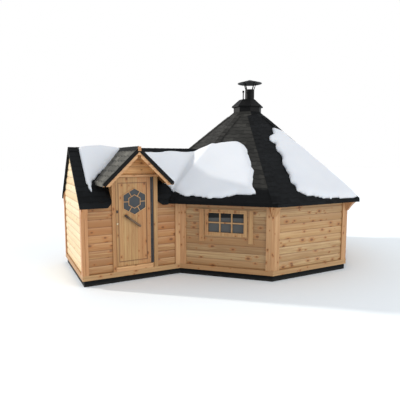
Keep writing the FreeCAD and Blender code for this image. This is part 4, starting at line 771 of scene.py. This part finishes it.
def inside_depth(x, y, outline):
    """Distance of a place from an outline, negative outside it."""
    nearest, inside = 9.0, False
    for number, start in enumerate(outline):
        end = outline[(number + 1) % len(outline)]
        ex, ey = end[0] - start[0], end[1] - start[1]
        share = max(0.0, min(1.0, ((x - start[0]) * ex + (y - start[1]) * ey) / (ex * ex + ey * ey)))
        nearest = min(nearest, math.hypot(x - start[0] - share * ex, y - start[1] - share * ey))
        if (start[1] > y) != (end[1] > y) and x < ex * (y - start[1]) / ey + start[0]:
            inside = not inside
    return nearest if inside else -nearest


def snow_patch(name, outline, thick):
    """A patch of snow over an outline in plan, as a fine grid raised over the roof."""
    margin = Vector((0.05, 0.05))
    low = Vector((min(p[0] for p in outline), min(p[1] for p in outline))) - margin
    high = Vector((max(p[0] for p in outline), max(p[1] for p in outline))) + margin
    step = 22 * MM
    bpy.ops.mesh.primitive_grid_add(
        x_subdivisions=max(2, int((high.x - low.x) / step)),
        y_subdivisions=max(2, int((high.y - low.y) / step)),
        size=1.0,
        location=(0, 0, 0),
    )
    patch = bpy.context.object
    patch.name = name
    mesh = bmesh.new()
    mesh.from_mesh(patch.data)
    outside = []
    for corner in mesh.verts:
        x = low.x + (corner.co.x + 0.5) * (high.x - low.x)
        y = low.y + (corner.co.y + 0.5) * (high.y - low.y)
        bays = 0.030 * noise.noise(Vector((x * 4.0, y * 4.0, 1.7)))
        crumbs = 0.006 * noise.noise(Vector((x * 9, y * 9, 4)))
        depth = inside_depth(x, y, outline) + (bays + crumbs)
        if depth < -SNOW_MARGIN:
            outside.append(corner)
            continue
        share = max(0.0, min(1.0, (depth + SNOW_MARGIN) / LIP_WIDTH))
        domed = math.sqrt(max(0.0, 1 - (1 - share) ** 2))
        rolling = 1 + 0.25 * noise.noise(Vector((x * 1.8, y * 1.8, 8.2)))
        corner.co = Vector((x, y, roof_level(x, y) + 0.004 + thick * domed * rolling))
    bmesh.ops.delete(mesh, geom=outside, context="VERTS")
    top = list(mesh.faces)
    grown = bmesh.ops.extrude_face_region(mesh, geom=top)
    lower = [item for item in grown["geom"] if isinstance(item, bmesh.types.BMVert)]
    for corner in lower:
        corner.co.z = roof_level(corner.co.x, corner.co.y) - BURIED
    bmesh.ops.recalc_face_normals(mesh, faces=mesh.faces)
    mesh.to_mesh(patch.data)
    mesh.free()
    bpy.context.view_layer.objects.active = patch
    shape(patch, "SMOOTH", "softened", factor=0.5, iterations=9)
    bpy.ops.object.shade_smooth()
    patch.data.materials.append(old_snow)
    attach(patch, "hut")
    bpy.ops.object.select_all(action="DESELECT")
    return patch


old_snow, tree, shader = finish_named("old_snow")
place = add(tree, "TexCoord").outputs["Object"]
crust = add(tree, "TexNoise",
            {"Vector": place, "Scale": 22.0, "Detail": 6.0, "Roughness": 0.65}).outputs[0]
drift = add(tree, "TexNoise", {"Vector": place, "Scale": 2.0, "Detail": 3.0}).outputs[0]
white = blend(tree, drift, colour("#dfe1e4"), colour("#d4d8de"))
tree.links.new(white.outputs[2], shader.inputs["Base Color"])
relief = add(tree, "Bump", {"Strength": 0.35, "Distance": 6 * MM, "Height": crust})
tree.links.new(relief.outputs[0], shader.inputs["Normal"])
shader.inputs["Roughness"].default_value = 0.85
shader.inputs["Subsurface Weight"].default_value = 0.25
shader.inputs["Subsurface Radius"].default_value = (0.02, 0.025, 0.03)
shader.inputs["Subsurface Scale"].default_value = 1.0

left_patch = [(-3.92, -0.02), (-3.93, -0.15), (-3.91, -0.28), (-3.90, -0.44), (-3.92, -0.61),
              (-3.91, -0.74), (-3.87, -0.82), (-3.83, -0.83), (-3.79, -0.66), (-3.60, -0.50),
              (-3.30, -0.25), (-3.07, -0.05), (-3.49, 0.04)]
main_patch = [(-2.95, -0.10), (-1.81, -0.10), (-1.40, -0.08), (-1.30, -0.32), (-1.16, -0.55),
              (-0.87, -0.76), (-0.81, -0.84), (-0.78, -1.03), (-0.77, -1.16), (-0.82, -1.29),
              (-0.87, -1.43), (-0.94, -1.54), (-0.96, -1.64), (-1.05, -1.74), (-1.16, -1.87),
              (-1.19, -2.04), (-1.26, -1.99), (-1.42, -1.86), (-1.69, -1.69), (-1.97, -1.41),
              (-2.13, -1.23), (-2.26, -1.07), (-2.31, -0.95), (-2.33, -0.79)]
right_patch = [(0.12, -0.79), (0.34, -0.88), (0.62, -1.50), (0.90, -2.10), (0.98, -2.38),
               (0.97, -2.43), (0.65, -2.43), (0.36, -2.42), (0.11, -2.42), (-0.24, -2.36),
               (-0.32, -2.30), (-0.40, -2.23), (-0.35, -2.14), (-0.41, -2.05), (-0.31, -1.91),
               (-0.30, -1.77), (-0.30, -1.63), (-0.18, -1.48), (-0.19, -1.31), (-0.10, -1.20),
               (-0.20, -1.13), (-0.15, -1.04), (0.01, -0.96), (0.11, -0.81)]
snow_patch("snow_left_of_dormer", left_patch, 0.085)
snow_patch("snow_over_valley", main_patch, 0.09)
snow_patch("snow_on_front_slope", right_patch, 0.08)


# Floor, light and camera
# A pale floor, a soft sky, a low sun from behind on the left and a wide soft lamp in front,
# as on a clear winter day, and the camera a little above eye height.

bpy.ops.mesh.primitive_plane_add(size=120, location=(0, 0, 0))
ground = bpy.context.object
ground.name = "pale_floor"
pale_floor, tree, shader = finish_named("pale_floor")
shader.inputs["Base Color"].default_value = colour("#f4fafd")
shader.inputs["Roughness"].default_value = 0.9
ground.data.materials.append(pale_floor)

world = bpy.data.worlds.new("winter_sky")
scene.world = world
world.use_nodes = True
tree = world.node_tree
light_path = add(tree, "LightPath")
sky = tree.nodes["Background"]
sky.inputs["Color"].default_value = colour("#f4f6fa")
sky.inputs["Strength"].default_value = 0.9
white_sky = add(tree, "Background", {"Color": (1.0, 1.0, 1.0, 1.0), "Strength": 1.0})
chosen = add(tree, "MixShader",
             {0: light_path.outputs["Is Camera Ray"], 1: sky.outputs[0], 2: white_sky.outputs[0]})
tree.links.new(chosen.outputs[0], tree.nodes["World Output"].inputs["Surface"])


def far_lamp(name, towards, strength, spread, tint):
    """A lamp so far off that its light comes from one direction."""
    bpy.ops.object.light_add(type="SUN", location=Vector(towards) * 9)
    lamp = bpy.context.object
    lamp.name = name
    lamp.data.energy = strength
    lamp.data.angle = math.radians(spread)
    lamp.data.color = tint
    lamp.rotation_euler = Vector(towards).to_track_quat("Z", "Y").to_euler()


far_lamp("low_winter_sun", (-0.767, 0.642, 0.29), 3.0, 2.5, (1.0, 0.96, 0.90))
far_lamp("soft_front_light", (0.5, -0.85, 0.35), 1.0, 40, (1.0, 0.99, 0.97))

# degrees from level and from the Y axis, as the photograph was taken
LOOK_DOWN = 6.284
LOOK_RIGHT = -27.467
bpy.ops.object.camera_add(location=(-5.242, -7.653, 2.264),
                          rotation=(math.radians(90 - LOOK_DOWN), 0, math.radians(LOOK_RIGHT)))
camera = bpy.context.object
camera.data.sensor_width = 36
camera.data.lens = 34.34
scene.camera = camera
scene.view_settings.view_transform = "Standard"
